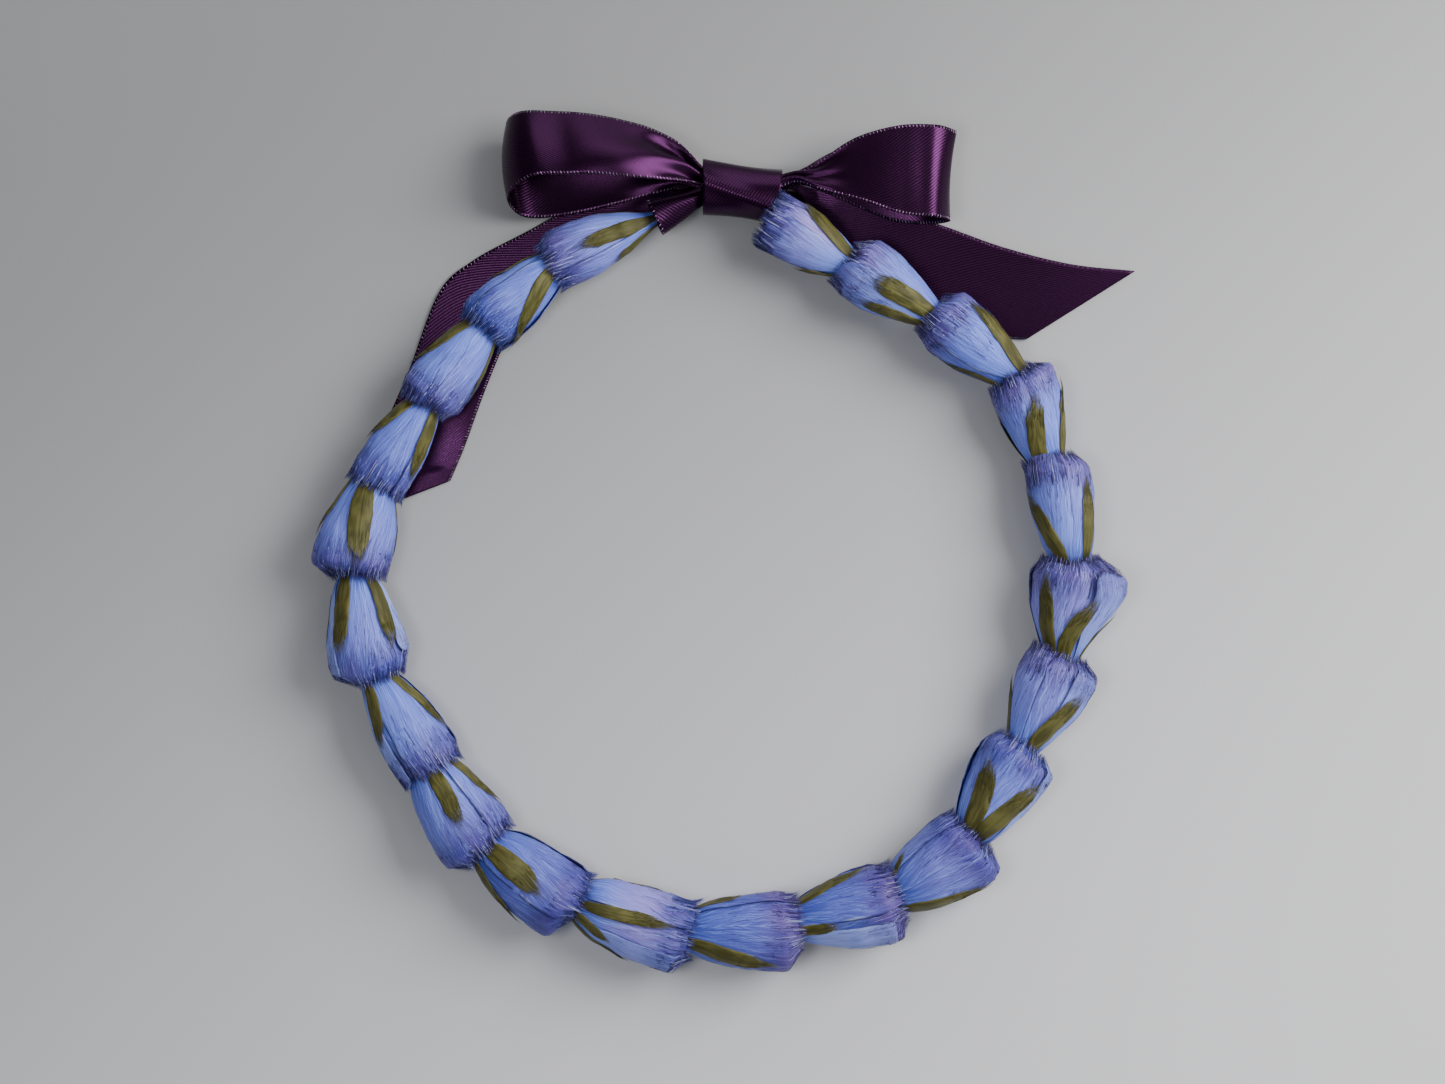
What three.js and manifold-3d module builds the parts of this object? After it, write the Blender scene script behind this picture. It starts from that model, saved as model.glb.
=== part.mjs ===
// Feather lei: a ring of tulip-like feather blossoms threaded on a cord, tied with a satin ribbon bow.
// Millimetres, +Z up. The lei lies flat; every blossom points counter-clockwise seen from above.
import * as THREE from "three";
import { mergeVertices } from "three/addons/utils/BufferGeometryUtils.js";
import Module from "manifold-3d";

const wasm = await Module();
wasm.setup();
const { Manifold, Mesh } = wasm;

// Sizes that drive the part.
const CORD_RADIUS = 0.9;
const CLEAR = 0.3;
const BORE_RADIUS = CORD_RADIUS + CLEAR;
const TUBE_RADIUS = 1.9;
const HIDDEN_LENGTH = 9; // how far a blossom's base reaches up inside the cup before it
const FIRST_HIDDEN_LENGTH = 5; // the same under the ribbon band, where the first blossom is bound
const TUBE_LENGTH = 3; // the round bound base, before the feathers spread
const PETAL_THICKNESS = 0.65;
const PETAL_COUNT = 3;
const PETAL_HALF_ANGLE = 76;
const PETAL_ROOT_ANGLE = 56; // half the angle a petal takes at its root, clear of its neighbours
const PETAL_SPIRAL = 1.5; // how much further out one side edge of a petal lies than the other
const SEPAL_THICKNESS = 0.6;
const SEPAL_ROOT_WIDTH = 1.4;
const SEPAL_LIFT = 0.6; // room for the swell of the petals between two points of a green feather
const RIM_MARGIN = 0.95; // further room between a rim and the blossom that stands in it
const SEPAL_RING_INNER = TUBE_RADIUS + CLEAR;
const SEPAL_RING_OUTER = 2.9;
const SEPAL_RING_LENGTH = 2;
const RIM_ROUNDING = 0.06; // how far a petal's corners fall back from its rim, as a share of its length
const RIM_RAGGED = 1.2; // how unevenly the rims end
const RIM_CLOSING = 0.42; // how far a rim is drawn in to the next blossom, as a share of the room
const RIBBON_THICKNESS = 0.8;
const TAIL_CLEARANCE = 1.3; // underside of the blossoms that lie across a ribbon tail
const FLOOR_SINK = 0.4; // depth of the flat that each blossom rests on

// Where the base of each blossom stands.
const JOINTS = [
  [-17.9, 78.6], [-43.3, 65.9], [-59.7, 50.5], [-73.8, 31.7], [-86.0, 12.2], [-89.2, -11.3],
  [-83.1, -35.6], [-70.4, -57.1], [-55.0, -76.4], [-31.8, -88.6], [-5.5, -95.4], [20.4, -92.2],
  [44.8, -84.4], [62.4, -68.4], [74.3, -47.6], [82.8, -25.9], [84.9, -1.7], [78.9, 21.7],
  [69.4, 42.2], [48.8, 57.1], [28.2, 69.5],
];

// The middle of each blossom's rim, which stands a little off the next blossom's base.
const RIMS = [
  [-43.8, 67.3], [-60.4, 51.0], [-73.8, 32.2], [-86.0, 12.2], [-92.1, -10.0], [-84.8, -34.9],
  [-69.7, -56.9], [-57.2, -77.1], [-34.8, -91.0], [-6.2, -97.6], [20.4, -95.2], [45.0, -86.9],
  [64.0, -71.5], [74.3, -48.8], [84.3, -26.4], [86.7, -2.4], [81.1, 22.0], [71.9, 43.2],
  [50.6, 57.3], [29.4, 69.5], [11.6, 79.3],
];

// For each blossom: half width, width of its base as a share of that, turn of its petals in
// degrees, then its green feathers as [azimuth where it comes out of the rim before it, azimuth at
// its tip, share of the blossom's length that it reaches, width].
// Azimuth 0 faces up, 90 faces out of the ring and -90 faces into it.
const BLOSSOMS = [
  {
    half: 7.6, base: 0.3, turn: 20,
    sepals: [[-2, 9, 0.66, 3.8], [-74, -66, 0.42, 3], [120, 110, 0.6, 4]],
  },
  {
    half: 8.2, base: 0.66, turn: -35,
    sepals: [[-16, -72, 0.7, 4.2], [84, 86, 0.5, 3.6], [-135, -125, 0.5, 4]],
  },
  {
    half: 8.2, base: 0.63, turn: 60,
    sepals: [[48, 78, 0.64, 4.8], [-82, -84, 0.6, 3.2], [-145, -140, 0.6, 4]],
  },
  {
    half: 7.7, base: 0.68, turn: 5,
    sepals: [[46, 76, 0.52, 5], [-48, -64, 0.7, 4.2], [130, 125, 0.6, 4]],
  },
  {
    half: 10.0, base: 0.63, turn: 40,
    sepals: [[8, -16, 0.7, 5.4], [82, 80, 0.55, 3.6], [-104, -112, 0.6, 4]],
  },
  {
    half: 9.5, base: 0.64, turn: -20,
    sepals: [[28, 38, 0.64, 5], [-48, -42, 0.66, 4.2], [104, 100, 0.5, 3.4], [-120, -130, 0.5, 4]],
  },
  {
    half: 8.9, base: 0.63, turn: 75,
    sepals: [[34, 56, 0.5, 4.2], [-56, -76, 0.64, 4], [130, 140, 0.6, 4]],
  },
  {
    half: 10.2, base: 0.7, turn: 15,
    sepals: [[-6, 4, 0.56, 4.6], [-62, -80, 0.6, 4.2], [125, 120, 0.6, 4]],
  },
  {
    half: 10.0, base: 0.74, turn: -50,
    sepals: [[-8, 2, 0.6, 6], [56, 82, 0.54, 4.6], [-120, -110, 0.5, 4]],
  },
  {
    half: 9.5, base: 0.74, turn: 30,
    sepals: [[-2, -14, 0.74, 3.4], [40, 46, 0.26, 3], [74, 94, 0.46, 4.6], [-115, -130, 0.6, 4]],
  },
  {
    half: 10.1, base: 0.66, turn: -10,
    sepals: [[24, 48, 0.73, 5.2], [-80, -76, 0.4, 3.4], [115, 120, 0.6, 4]],
  },
  {
    half: 10.1, base: 0.6, turn: 55,
    sepals: [[-62, -78, 0.68, 4], [20, 14, 0.3, 3], [125, 130, 0.6, 4]],
  },
  {
    half: 10.6, base: 0.66, turn: 0,
    sepals: [[60, 82, 0.68, 4.8], [-50, -60, 0.3, 3], [-120, -125, 0.6, 4]],
  },
  {
    half: 9.8, base: 0.65, turn: -40,
    sepals: [[-24, -38, 0.66, 6], [20, 48, 0.7, 6.4], [130, 125, 0.6, 4]],
  },
  {
    half: 9.6, base: 0.55, turn: 25,
    sepals: [[25, 45, 0.66, 5.2], [-82, -82, 0.5, 3.4], [120, 130, 0.6, 4]],
  },
  {
    half: 10.5, base: 0.5, turn: 65,
    sepals: [[-38, -46, 0.74, 4.8], [5, 27, 0.58, 4.8], [82, 84, 0.4, 3], [-130, -130, 0.6, 4]],
  },
  {
    half: 8.5, base: 0.72, turn: -15,
    sepals: [[-32, -72, 0.62, 4.8], [42, 47, 0.68, 4], [135, 125, 0.6, 4]],
  },
  {
    half: 8.8, base: 0.6, turn: 45,
    sepals: [[-18, 8, 0.66, 5.2], [62, 84, 0.74, 3.8], [-125, -120, 0.6, 4]],
  },
  {
    half: 8.5, base: 0.6, turn: -60,
    sepals: [[34, 54, 0.76, 4.6], [72, 86, 0.5, 3.4], [-78, -82, 0.56, 3.4], [140, 135, 0.6, 4]],
  },
  {
    half: 8.3, base: 0.55, turn: 10,
    sepals: [[-4, -8, 0.66, 5.4], [-60, -54, 0.62, 3.8], [110, 105, 0.6, 4]],
  },
  {
    half: 7.9, base: 0.64, turn: -30,
    sepals: [[34, 58, 0.76, 4.4], [-80, -74, 0.4, 3], [130, 125, 0.6, 4]],
  },
];

// Blossoms that lie across one of the ribbon's tails, counted from 1.
const OVER_TAILS = [1, 2, 3, 4, 19, 20, 21];

// Radius of the petals' middle surface past the previous rim, from the base (0) to the widest (1),
// against the share of the length; CUP_DEPTH and CUP_WIDTH give it inside that rim.
const SWELL = [[0, 0], [0.3, 0.64], [0.58, 0.97], [0.82, 1.0], [1.0, 0.8]];
const CUP_DEPTH = 6;
const CUP_WIDTH = 0.74;

// Places of a petal's grid points: across it from edge to edge, and along it from base to rim.
const ACROSS = [-1, -0.6, 0, 0.6, 1];
const ALONG = [0, 0.1, 0.21, 0.42, 0.64, 0.86, 1];
const SEPAL_ALONG = [0, 0.17, 0.34, 0.56, 0.8, 1];
const SEPAL_WIDTHS = [0, 0.34, 0.8, 1, 0.88, 0.45];
const SEPAL_RING_STEP = 45; // widest angle between two points of the ring that the green feathers rise from

const UP = new THREE.Vector3(0, 0, 1);
const rad = THREE.MathUtils.degToRad;
const clamp = THREE.MathUtils.clamp;
const ramp = THREE.MathUtils.smoothstep;

// A seeded random draw from 0 to 1.
function seeded(seed) {
  let a = seed * 7919 + 13;
  return () => {
    a = (a * 48271) % 2147483647;
    return a / 2147483647;
  };
}

function solidFrom(points, faces) {
  const flat = new Float32Array(points.length * 3);
  points.forEach((p, i) => p.toArray(flat, i * 3));
  return new Manifold(new Mesh({ numProp: 3, vertProperties: flat, triVerts: new Uint32Array(faces) }));
}

function facingOut(points, faces) {
  const made = solidFrom(points, faces);
  if (made.volume() > 0) return made;
  const turned = faces.slice();
  for (let i = 0; i < turned.length; i += 3) {
    [turned[i + 1], turned[i + 2]] = [turned[i + 2], turned[i + 1]];
  }
  return solidFrom(points, turned);
}

// The solid of a closed geometry, with its shared points merged.
function solidOf(geometry) {
  geometry.deleteAttribute("normal");
  geometry.deleteAttribute("uv");
  const merged = mergeVertices(geometry, 1e-4);
  const at = merged.getAttribute("position");
  const points = Array.from({ length: at.count }, (_, k) => new THREE.Vector3().fromBufferAttribute(at, k));
  return facingOut(points, Array.from(merged.index.array));
}

// A plate of even thickness round a grid of middle points; rows run along it and columns across.
function plate(grid, thickness) {
  const lastRow = grid.length - 1;
  const lastCol = grid[0].length - 1;
  const box = new THREE.BoxGeometry(1, 1, 1, lastCol, lastRow, 1);
  const at = box.getAttribute("position");
  for (let k = 0; k < at.count; k++) {
    const i = Math.round((at.getY(k) + 0.5) * lastRow);
    const j = Math.round((at.getX(k) + 0.5) * lastCol);
    const along = grid[Math.min(i + 1, lastRow)][j].clone().sub(grid[Math.max(i - 1, 0)][j]);
    const across = grid[i][Math.min(j + 1, lastCol)].clone().sub(grid[i][Math.max(j - 1, 0)]);
    const normal = across.cross(along).normalize();
    const p = grid[i][j].clone().addScaledVector(normal, at.getZ(k) * thickness);
    at.setXYZ(k, p.x, p.y, p.z);
  }
  return solidOf(box);
}

// A block that fills one side of a plane, on the side that the normal points to.
function blockBeyond(point, normal) {
  const size = 400;
  const box = new THREE.BoxGeometry(size, size, size).translate(0, 0, size / 2);
  box.applyQuaternion(new THREE.Quaternion().setFromUnitVectors(UP, normal));
  return solidOf(box.translate(point.x, point.y, point.z));
}

// The place of each blossom: base, rim, axes and length.
const places = BLOSSOMS.map((b, i) => {
  const rest = (n) => {
    const lift = OVER_TAILS.includes(n) ? TAIL_CLEARANCE : 0;
    return BLOSSOMS[n - 1].half + lift - FLOOR_SINK;
  };
  const base = new THREE.Vector3(...JOINTS[i], i === 0 ? rest(1) : rest(i));
  const rim = new THREE.Vector3(...RIMS[i], rest(i + 1));
  const along = rim.clone().sub(base).normalize();
  const out = along.clone().cross(UP).normalize();
  const up = out.clone().cross(along).normalize();
  const hidden = i === 0 ? FIRST_HIDDEN_LENGTH : HIDDEN_LENGTH;
  const start = base.clone().addScaledVector(along, -hidden);
  const length = rim.distanceTo(start);
  const half = b.half - 0.6;
  const root = (BORE_RADIUS + TUBE_RADIUS) / 2;
  const profile = [
    [TUBE_LENGTH, root],
    ...(i === 0 ? [] : [[CUP_DEPTH, b.base * CUP_WIDTH * half]]),
    ...SWELL.map(([share, swell]) => {
      return [hidden + share * (length - hidden), (b.base + (1 - b.base) * swell) * half];
    }),
  ];
  return { rim, start, along, out, up, hidden, profile, length, half };
});

// Half the turn of the ring at a blossom's rim, so that the rim stands square between both axes.
function rimSlant(i) {
  if (i === places.length - 1) return 0;
  const here = places[i].along;
  const next = places[i + 1].along;
  const turn = Math.asin(clamp(next.dot(places[i].out), -1, 1));
  return Math.tan(-turn / 2) * (here.dot(next) > 0 ? 1 : 0);
}

function spot(place, azimuth, distance, radius) {
  const a = rad(azimuth);
  return place.start
    .clone()
    .addScaledVector(place.along, distance)
    .addScaledVector(place.up, Math.cos(a) * radius)
    .addScaledVector(place.out, Math.sin(a) * radius);
}

function petalRadius(place, distance) {
  const { profile } = place;
  for (let k = 1; k < profile.length; k++) {
    const [d0, r0] = profile[k - 1];
    const [d1, r1] = profile[k];
    if (distance <= d1) return r0 + ((r1 - r0) * (Math.max(distance, d0) - d0)) / (d1 - d0);
  }
  return profile[profile.length - 1][1];
}

const spiral = (place, distance, u) => (PETAL_SPIRAL / 2) * u * ramp(distance, 4, 11);

const petalSpread = (place, distance) =>
  PETAL_ROOT_ANGLE + (PETAL_HALF_ANGLE - PETAL_ROOT_ANGLE) * ramp(distance, 7, 12);

// How far out the petals reach past their middle surface near an azimuth.
function petalsReach(i, azimuth, distance, halfAngle) {
  let reach = -PETAL_SPIRAL;
  for (let p = 0; p < PETAL_COUNT; p++) {
    const middle = BLOSSOMS[i].turn + (360 / PETAL_COUNT) * p;
    for (const a of [-halfAngle, 0, halfAngle]) {
      const off = ((azimuth + a - middle + 540) % 360) - 180;
      if (Math.abs(off) > PETAL_HALF_ANGLE + 3) continue;
      reach = Math.max(reach, spiral(places[i], distance, off / PETAL_HALF_ANGLE));
    }
  }
  return reach;
}

// Where a point of a green feather stands: its azimuth, half its angular width and its radius.
function sepalSpot(i, [from, to, share, widest], distance) {
  const place = places[i];
  const last = place.hidden + (place.length - place.hidden) * share;
  const v = clamp((distance - SEPAL_RING_LENGTH) / (last - SEPAL_RING_LENGTH), 0, 1);
  const k = clamp(SEPAL_ALONG.findIndex((t) => v <= t), 1, SEPAL_ALONG.length - 1);
  const within = (v - SEPAL_ALONG[k - 1]) / (SEPAL_ALONG[k] - SEPAL_ALONG[k - 1]);
  const full = SEPAL_WIDTHS[k - 1] + (SEPAL_WIDTHS[k] - SEPAL_WIDTHS[k - 1]) * within;
  const width = SEPAL_ROOT_WIDTH + (widest - SEPAL_ROOT_WIDTH) * full;
  const azimuth = from + (to - from) * clamp((distance - place.hidden) / (last - place.hidden), 0, 1);
  const ground = petalRadius(place, distance);
  const halfAngle = THREE.MathUtils.radToDeg(width / 2 / (ground + 1));
  const reach = petalsReach(i, azimuth, distance, halfAngle);
  const above = ground + reach + PETAL_THICKNESS / 2 + CLEAR + SEPAL_THICKNESS / 2 + SEPAL_LIFT;
  const radius = Math.max(above, (SEPAL_RING_INNER + SEPAL_RING_OUTER) / 2);
  return { azimuth, halfAngle, radius, beyond: distance > last };
}

// How far out a blossom and its green feathers reach at an azimuth.
function envelope(i, azimuth, distance) {
  const place = places[i];
  if (distance < SEPAL_RING_LENGTH) return SEPAL_RING_OUTER;
  let most = petalRadius(place, distance) + petalsReach(i, azimuth, distance, 16) + PETAL_THICKNESS / 2;
  for (const sepal of BLOSSOMS[i].sepals) {
    const at = sepalSpot(i, sepal, distance);
    const off = Math.abs(((azimuth - at.azimuth + 540) % 360) - 180);
    if (!at.beyond && off < at.halfAngle + 26) most = Math.max(most, at.radius + SEPAL_THICKNESS / 2);
  }
  return most;
}

// Draws a point of blossom i in to the next blossom, which stands inside its rim, but leaves room.
function aroundNext(i, point, room, drawn = 0) {
  if (i === places.length - 1) return point;
  const next = places[i + 1];
  const from = point.clone().sub(next.start);
  const distance = from.dot(next.along);
  if (distance < -1) return point;
  const outward = from.addScaledVector(next.along, -distance);
  const azimuth = THREE.MathUtils.radToDeg(Math.atan2(outward.dot(next.out), outward.dot(next.up)));
  const need = envelope(i + 1, azimuth, distance) + room;
  const radius = outward.length();
  const wanted = Math.max(radius + (need - radius) * drawn, need);
  return point.clone().addScaledVector(outward, wanted / radius - 1);
}

// One closed surface: a round bound base whose far end splits into feathers.
// ring holds the azimuths round the base, and feathers the plates that rise from runs of them:
// each has the index of its first ring point and its rows of middle points past the root.
function crown(place, ring, radii, depth, feathers, thickness) {
  const points = [];
  const faces = [];
  const add = (p) => points.push(p) - 1;
  const count = ring.length;
  const circle = (distance, radius) => ring.map((azimuth) => add(spot(place, azimuth, distance, radius)));
  const low = { outer: circle(0, radii[1]), inner: circle(0, radii[0]) };
  const high = { outer: circle(depth, radii[1]), inner: circle(depth, radii[0]) };
  const quad = (p, q, r, t) => faces.push(p, q, r, p, r, t);
  const taken = new Set();
  for (const { first, rows } of feathers) {
    const cols = rows[0].length;
    const at = Array.from({ length: cols }, (_, j) => (first + j) % count);
    const root = at.map((k) => points[high.outer[k]].clone().add(points[high.inner[k]]).multiplyScalar(0.5));
    const grid = [root, ...rows];
    const levels = grid.map((row, r) => {
      if (r === 0) return { outer: at.map((k) => high.outer[k]), inner: at.map((k) => high.inner[k]) };
      const normals = row.map((_, j) => {
        const along = grid[Math.min(r + 1, grid.length - 1)][j].clone().sub(grid[r - 1][j]);
        const across = row[Math.min(j + 1, cols - 1)].clone().sub(row[Math.max(j - 1, 0)]);
        return across.cross(along).normalize().multiplyScalar(thickness / 2);
      });
      return {
        outer: row.map((p, j) => add(p.clone().add(normals[j]))),
        inner: row.map((p, j) => add(p.clone().sub(normals[j]))),
      };
    });
    for (let r = 0; r < levels.length - 1; r++) {
      const [a, b] = [levels[r], levels[r + 1]];
      for (let j = 0; j < cols - 1; j++) {
        quad(a.outer[j], a.outer[j + 1], b.outer[j + 1], b.outer[j]);
        quad(a.inner[j + 1], a.inner[j], b.inner[j], b.inner[j + 1]);
      }
      quad(a.inner[0], a.outer[0], b.outer[0], b.inner[0]);
      quad(a.outer[cols - 1], a.inner[cols - 1], b.inner[cols - 1], b.outer[cols - 1]);
    }
    const tip = levels[levels.length - 1];
    for (let j = 0; j < cols - 1; j++) {
      quad(tip.outer[j], tip.outer[j + 1], tip.inner[j + 1], tip.inner[j]);
      taken.add(at[j]);
    }
  }
  for (let k = 0; k < count; k++) {
    const n = (k + 1) % count;
    quad(low.outer[k], low.outer[n], high.outer[n], high.outer[k]);
    quad(low.inner[n], low.inner[k], high.inner[k], high.inner[n]);
    quad(low.inner[k], low.inner[n], low.outer[n], low.outer[k]);
    if (!taken.has(k)) quad(high.outer[k], high.outer[n], high.inner[n], high.inner[k]);
  }
  return facingOut(points, faces);
}

function blossom(i) {
  const place = places[i];
  const slant = rimSlant(i);
  const draw = seeded(i + 1);
  const ring = [];
  const feathers = [];
  for (let p = 0; p < PETAL_COUNT; p++) {
    const middle = BLOSSOMS[i].turn + (360 / PETAL_COUNT) * p;
    const edge = ACROSS.map((u) => {
      const azimuth = middle + PETAL_HALF_ANGLE * u;
      const mitre = slant * place.half * Math.sin(rad(azimuth));
      const rounded = RIM_ROUNDING * Math.abs(u) ** 3 * place.length;
      return place.length + mitre - rounded + (draw() - 0.5) * RIM_RAGGED;
    });
    const rows = ALONG.slice(1).map((v) =>
      ACROSS.map((u, j) => {
        const distance = TUBE_LENGTH + (edge[j] - TUBE_LENGTH) * v;
        const narrowed = 1 - 0.1 * ramp(v, 0.7, 1);
        const radius = petalRadius(place, distance) + spiral(place, distance, u);
        const free = spot(place, middle + petalSpread(place, distance) * u * narrowed, distance, radius);
        const room = PETAL_THICKNESS / 2 + CLEAR + RIM_MARGIN;
        return aroundNext(i, free, room, RIM_CLOSING * ramp(v, 0.84, 1));
      }),
    );
    feathers.push({ first: ring.length, rows });
    ring.push(...ACROSS.map((u) => middle + PETAL_ROOT_ANGLE * u));
  }
  return crown(place, ring, [BORE_RADIUS, TUBE_RADIUS], TUBE_LENGTH, feathers, PETAL_THICKNESS);
}

function sepals(i) {
  const place = places[i];
  const sorted = BLOSSOMS[i].sepals.slice().sort((p, q) => p[0] - q[0]);
  const ring = [];
  const feathers = sorted.map((sepal, order) => {
    const [from, , share] = sepal;
    const last = place.hidden + (place.length - place.hidden) * share;
    const rows = SEPAL_ALONG.slice(1).map((v) => {
      const distance = SEPAL_RING_LENGTH + (last - SEPAL_RING_LENGTH) * v;
      const { azimuth, halfAngle, radius } = sepalSpot(i, sepal, distance);
      const room = PETAL_THICKNESS + SEPAL_THICKNESS / 2 + 2 * CLEAR + RIM_MARGIN;
      return [-1, 1].map((u) => aroundNext(i, spot(place, azimuth + halfAngle * u, distance, radius), room));
    });
    const rootAngle = THREE.MathUtils.radToDeg(SEPAL_ROOT_WIDTH / 2 / SEPAL_RING_OUTER);
    const first = ring.length;
    const following = order + 1 < sorted.length ? sorted[order + 1][0] : sorted[0][0] + 360;
    const gap = following - from - 2 * rootAngle;
    const fill = Math.max(Math.ceil(gap / SEPAL_RING_STEP), 1);
    ring.push(from - rootAngle);
    for (let k = 0; k < fill; k++) ring.push(from + rootAngle + (gap * k) / fill);
    return { first, rows };
  });
  return crown(
    place, ring, [SEPAL_RING_INNER, SEPAL_RING_OUTER], SEPAL_RING_LENGTH, feathers, SEPAL_THICKNESS,
  );
}

// The cord runs straight through each base and ends inside the bow's knot.
function cord() {
  const run = [new THREE.Vector3(0.5, 87.2, 8.6), new THREE.Vector3(-5, 84.9, 8.5)];
  for (const place of places) {
    run.push(place.start.clone().addScaledVector(place.along, -0.8));
    run.push(place.start.clone().addScaledVector(place.along, TUBE_LENGTH + 0.8));
  }
  run.push(new THREE.Vector3(8.5, 81.5, 9.0), new THREE.Vector3(3.5, 83.5, 8.6));
  const path = new THREE.CatmullRomCurve3(run, false, "centripetal");
  const round = new THREE.Shape().absarc(0, 0, CORD_RADIUS, 0, 2 * Math.PI);
  return solidOf(new THREE.ExtrudeGeometry(round, { steps: 130, extrudePath: path, curveSegments: 3 }));
}

// A length of ribbon, from pairs of points on its two edges, crowned a little across its width.
function ribbon(pairs, crownHeight, steps) {
  const smooth = (points) => {
    const curve = new THREE.CatmullRomCurve3(points, false, "centripetal");
    const run = curve.getPoints((pairs.length - 1) * steps);
    run.forEach((p) => p.setZ(Math.max(p.z, RIBBON_THICKNESS / 2)));
    return run;
  };
  const tops = smooth(pairs.map((p) => new THREE.Vector3(...p[0])));
  const bottoms = smooth(pairs.map((p) => new THREE.Vector3(...p[1])));
  const grid = tops.map((top, i) => {
    const bottom = bottoms[i];
    const next = tops[Math.min(i + 1, tops.length - 1)].clone().sub(tops[Math.max(i - 1, 0)]);
    const normal = next.cross(bottom.clone().sub(top)).normalize();
    const share = i / (tops.length - 1);
    const arch = crownHeight * ramp(share, 0, 0.2) * ramp(1 - share, 0, 0.2);
    const middle = top.clone().add(bottom).multiplyScalar(0.5).addScaledVector(normal, arch);
    return [top, middle, bottom];
  });
  return plate(grid, RIBBON_THICKNESS);
}

// Edge points of the ribbon's lengths: the edge further from the ring, then the nearer one.
const LOOP_LEFT = [
  [[-2.4, 90.8, 10.8], [-2.4, 86.8, 12.2]],
  [[-5.6, 91.4, 11.2], [-5.4, 87.0, 12.6]],
  [[-12.3, 98.6, 11.6], [-10.4, 87.4, 14.6]],
  [[-24.5, 102.7, 12.2], [-22.1, 87.4, 17.2]],
  [[-38.4, 104.9, 12.8], [-36.0, 88.6, 19.6]],
  [[-48.9, 105.0, 11.8], [-45.8, 88.3, 20.0]],
  [[-52.8, 102.7, 7.5], [-52.3, 84.2, 12.0]],
  [[-49.4, 101.0, 4.0], [-48.9, 80.0, 4.2]],
  [[-38.4, 101.0, 3.4], [-38.4, 80.5, 2.6]],
  [[-25.0, 100.0, 4.6], [-25.0, 83.4, 3.4]],
  [[-13.3, 96.6, 6.0], [-12.3, 86.6, 4.6]],
  [[-5.6, 91.8, 7.4], [-5.4, 86.4, 5.6]],
  [[-2.4, 91.2, 7.4], [-2.4, 86.2, 5.8]],
];
const LOOP_RIGHT = [
  [[11.0, 88.2, 10.0], [11.0, 84.8, 12.2]],
  [[14.3, 89.0, 10.6], [14.3, 87.0, 12.6]],
  [[18.5, 91.2, 11.2], [18.5, 87.8, 13.2]],
  [[24.3, 93.7, 11.8], [24.3, 85.5, 14.0]],
  [[33.1, 98.6, 12.6], [34.0, 82.7, 15.4]],
  [[43.3, 101.3, 13.4], [43.3, 79.5, 16.8]],
  [[51.9, 101.5, 13.6], [51.1, 78.8, 17.2]],
  [[57.2, 100.3, 9.0], [55.5, 78.3, 11.0]],
  [[51.9, 101.0, 4.8], [50.6, 78.0, 5.2]],
  [[40.9, 100.3, 3.6], [41.4, 79.2, 3.0]],
  [[28.2, 96.4, 4.0], [29.2, 84.2, 3.2]],
  [[19.4, 91.4, 5.6], [19.8, 87.8, 4.8]],
  [[15.0, 89.2, 7.0], [15.0, 86.6, 5.6]],
  [[11.4, 88.4, 7.4], [11.4, 86.0, 6.0]],
];
const TAIL_LEFT = [
  [[-2.4, 86.2, 3.9], [-2.4, 83.6, 4.4]],
  [[-5.4, 86.6, 3.8], [-5.4, 83.2, 4.6]],
  [[-11.0, 87.4, 1.4], [-10.6, 80.6, 1.4]],
  [[-20.1, 88.3, 0.4], [-17.6, 78.6, 0.4]],
  [[-33.5, 84.6, 0.4], [-29.0, 69.6, 0.4]],
  [[-47.5, 77.1, 0.4], [-42.8, 61.4, 0.4]],
  [[-61.6, 69.5, 0.4], [-51.8, 53.4, 0.4]],
  [[-70.1, 61.5, 0.4], [-54.3, 48.1, 0.4]],
  [[-77.5, 42.0, 0.4], [-59.2, 35.9, 0.4]],
  [[-83.6, 27.3, 0.4], [-63.6, 23.7, 0.4]],
  [[-90.4, 6.1, 0.4], [-67.2, 15.1, 0.4]],
];
const TAIL_RIGHT = [
  [[10.6, 87.4, 4.6], [10.6, 84.8, 3.9]],
  [[14.8, 88.0, 4.6], [14.8, 85.6, 3.7]],
  [[18.0, 88.4, 1.5], [17.2, 84.0, 1.1]],
  [[22.0, 87.4, 0.4], [18.4, 78.2, 0.4]],
  [[27.4, 86.4, 0.4], [21.9, 73.4, 0.4]],
  [[42.6, 82.0, 0.4], [36.2, 61.0, 0.4]],
  [[56.0, 77.4, 0.4], [50.2, 56.0, 0.4]],
  [[69.6, 72.6, 0.4], [64.4, 51.4, 0.4]],
  [[85.8, 68.6, 0.4], [82.6, 47.4, 0.4]],
  [[103.1, 66.7, 0.4], [101.9, 45.2, 0.4]],
];
const TAIL_RIGHT_CUT = [[101.9, 66.9], [75.0, 50.0]];

function tailRight() {
  const [tip, heel] = TAIL_RIGHT_CUT.map((p) => new THREE.Vector3(...p, 0));
  const line = heel.clone().sub(tip).normalize();
  const normal = new THREE.Vector3(line.y, -line.x, 0);
  if (normal.dot(new THREE.Vector3(...JOINTS[20], 0).sub(tip)) > 0) normal.negate();
  return ribbon(TAIL_RIGHT, 0, 2).subtract(blockBeyond(tip, normal));
}

// The knot's wrap: a turn of ribbon round the bow's middle, open where the loops come out.
const KNOT_LEFT = new THREE.Vector3(-4.8, 86.9, 8.2);
const KNOT_RIGHT = new THREE.Vector3(14.6, 84.5, 8.2);
const KNOT_HALF_Y = 7.0;
const KNOT_HALF_Z = 6.6;
const KNOT_CLEARANCE = 1.4; // from the last blossom's rim to the knot

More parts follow.
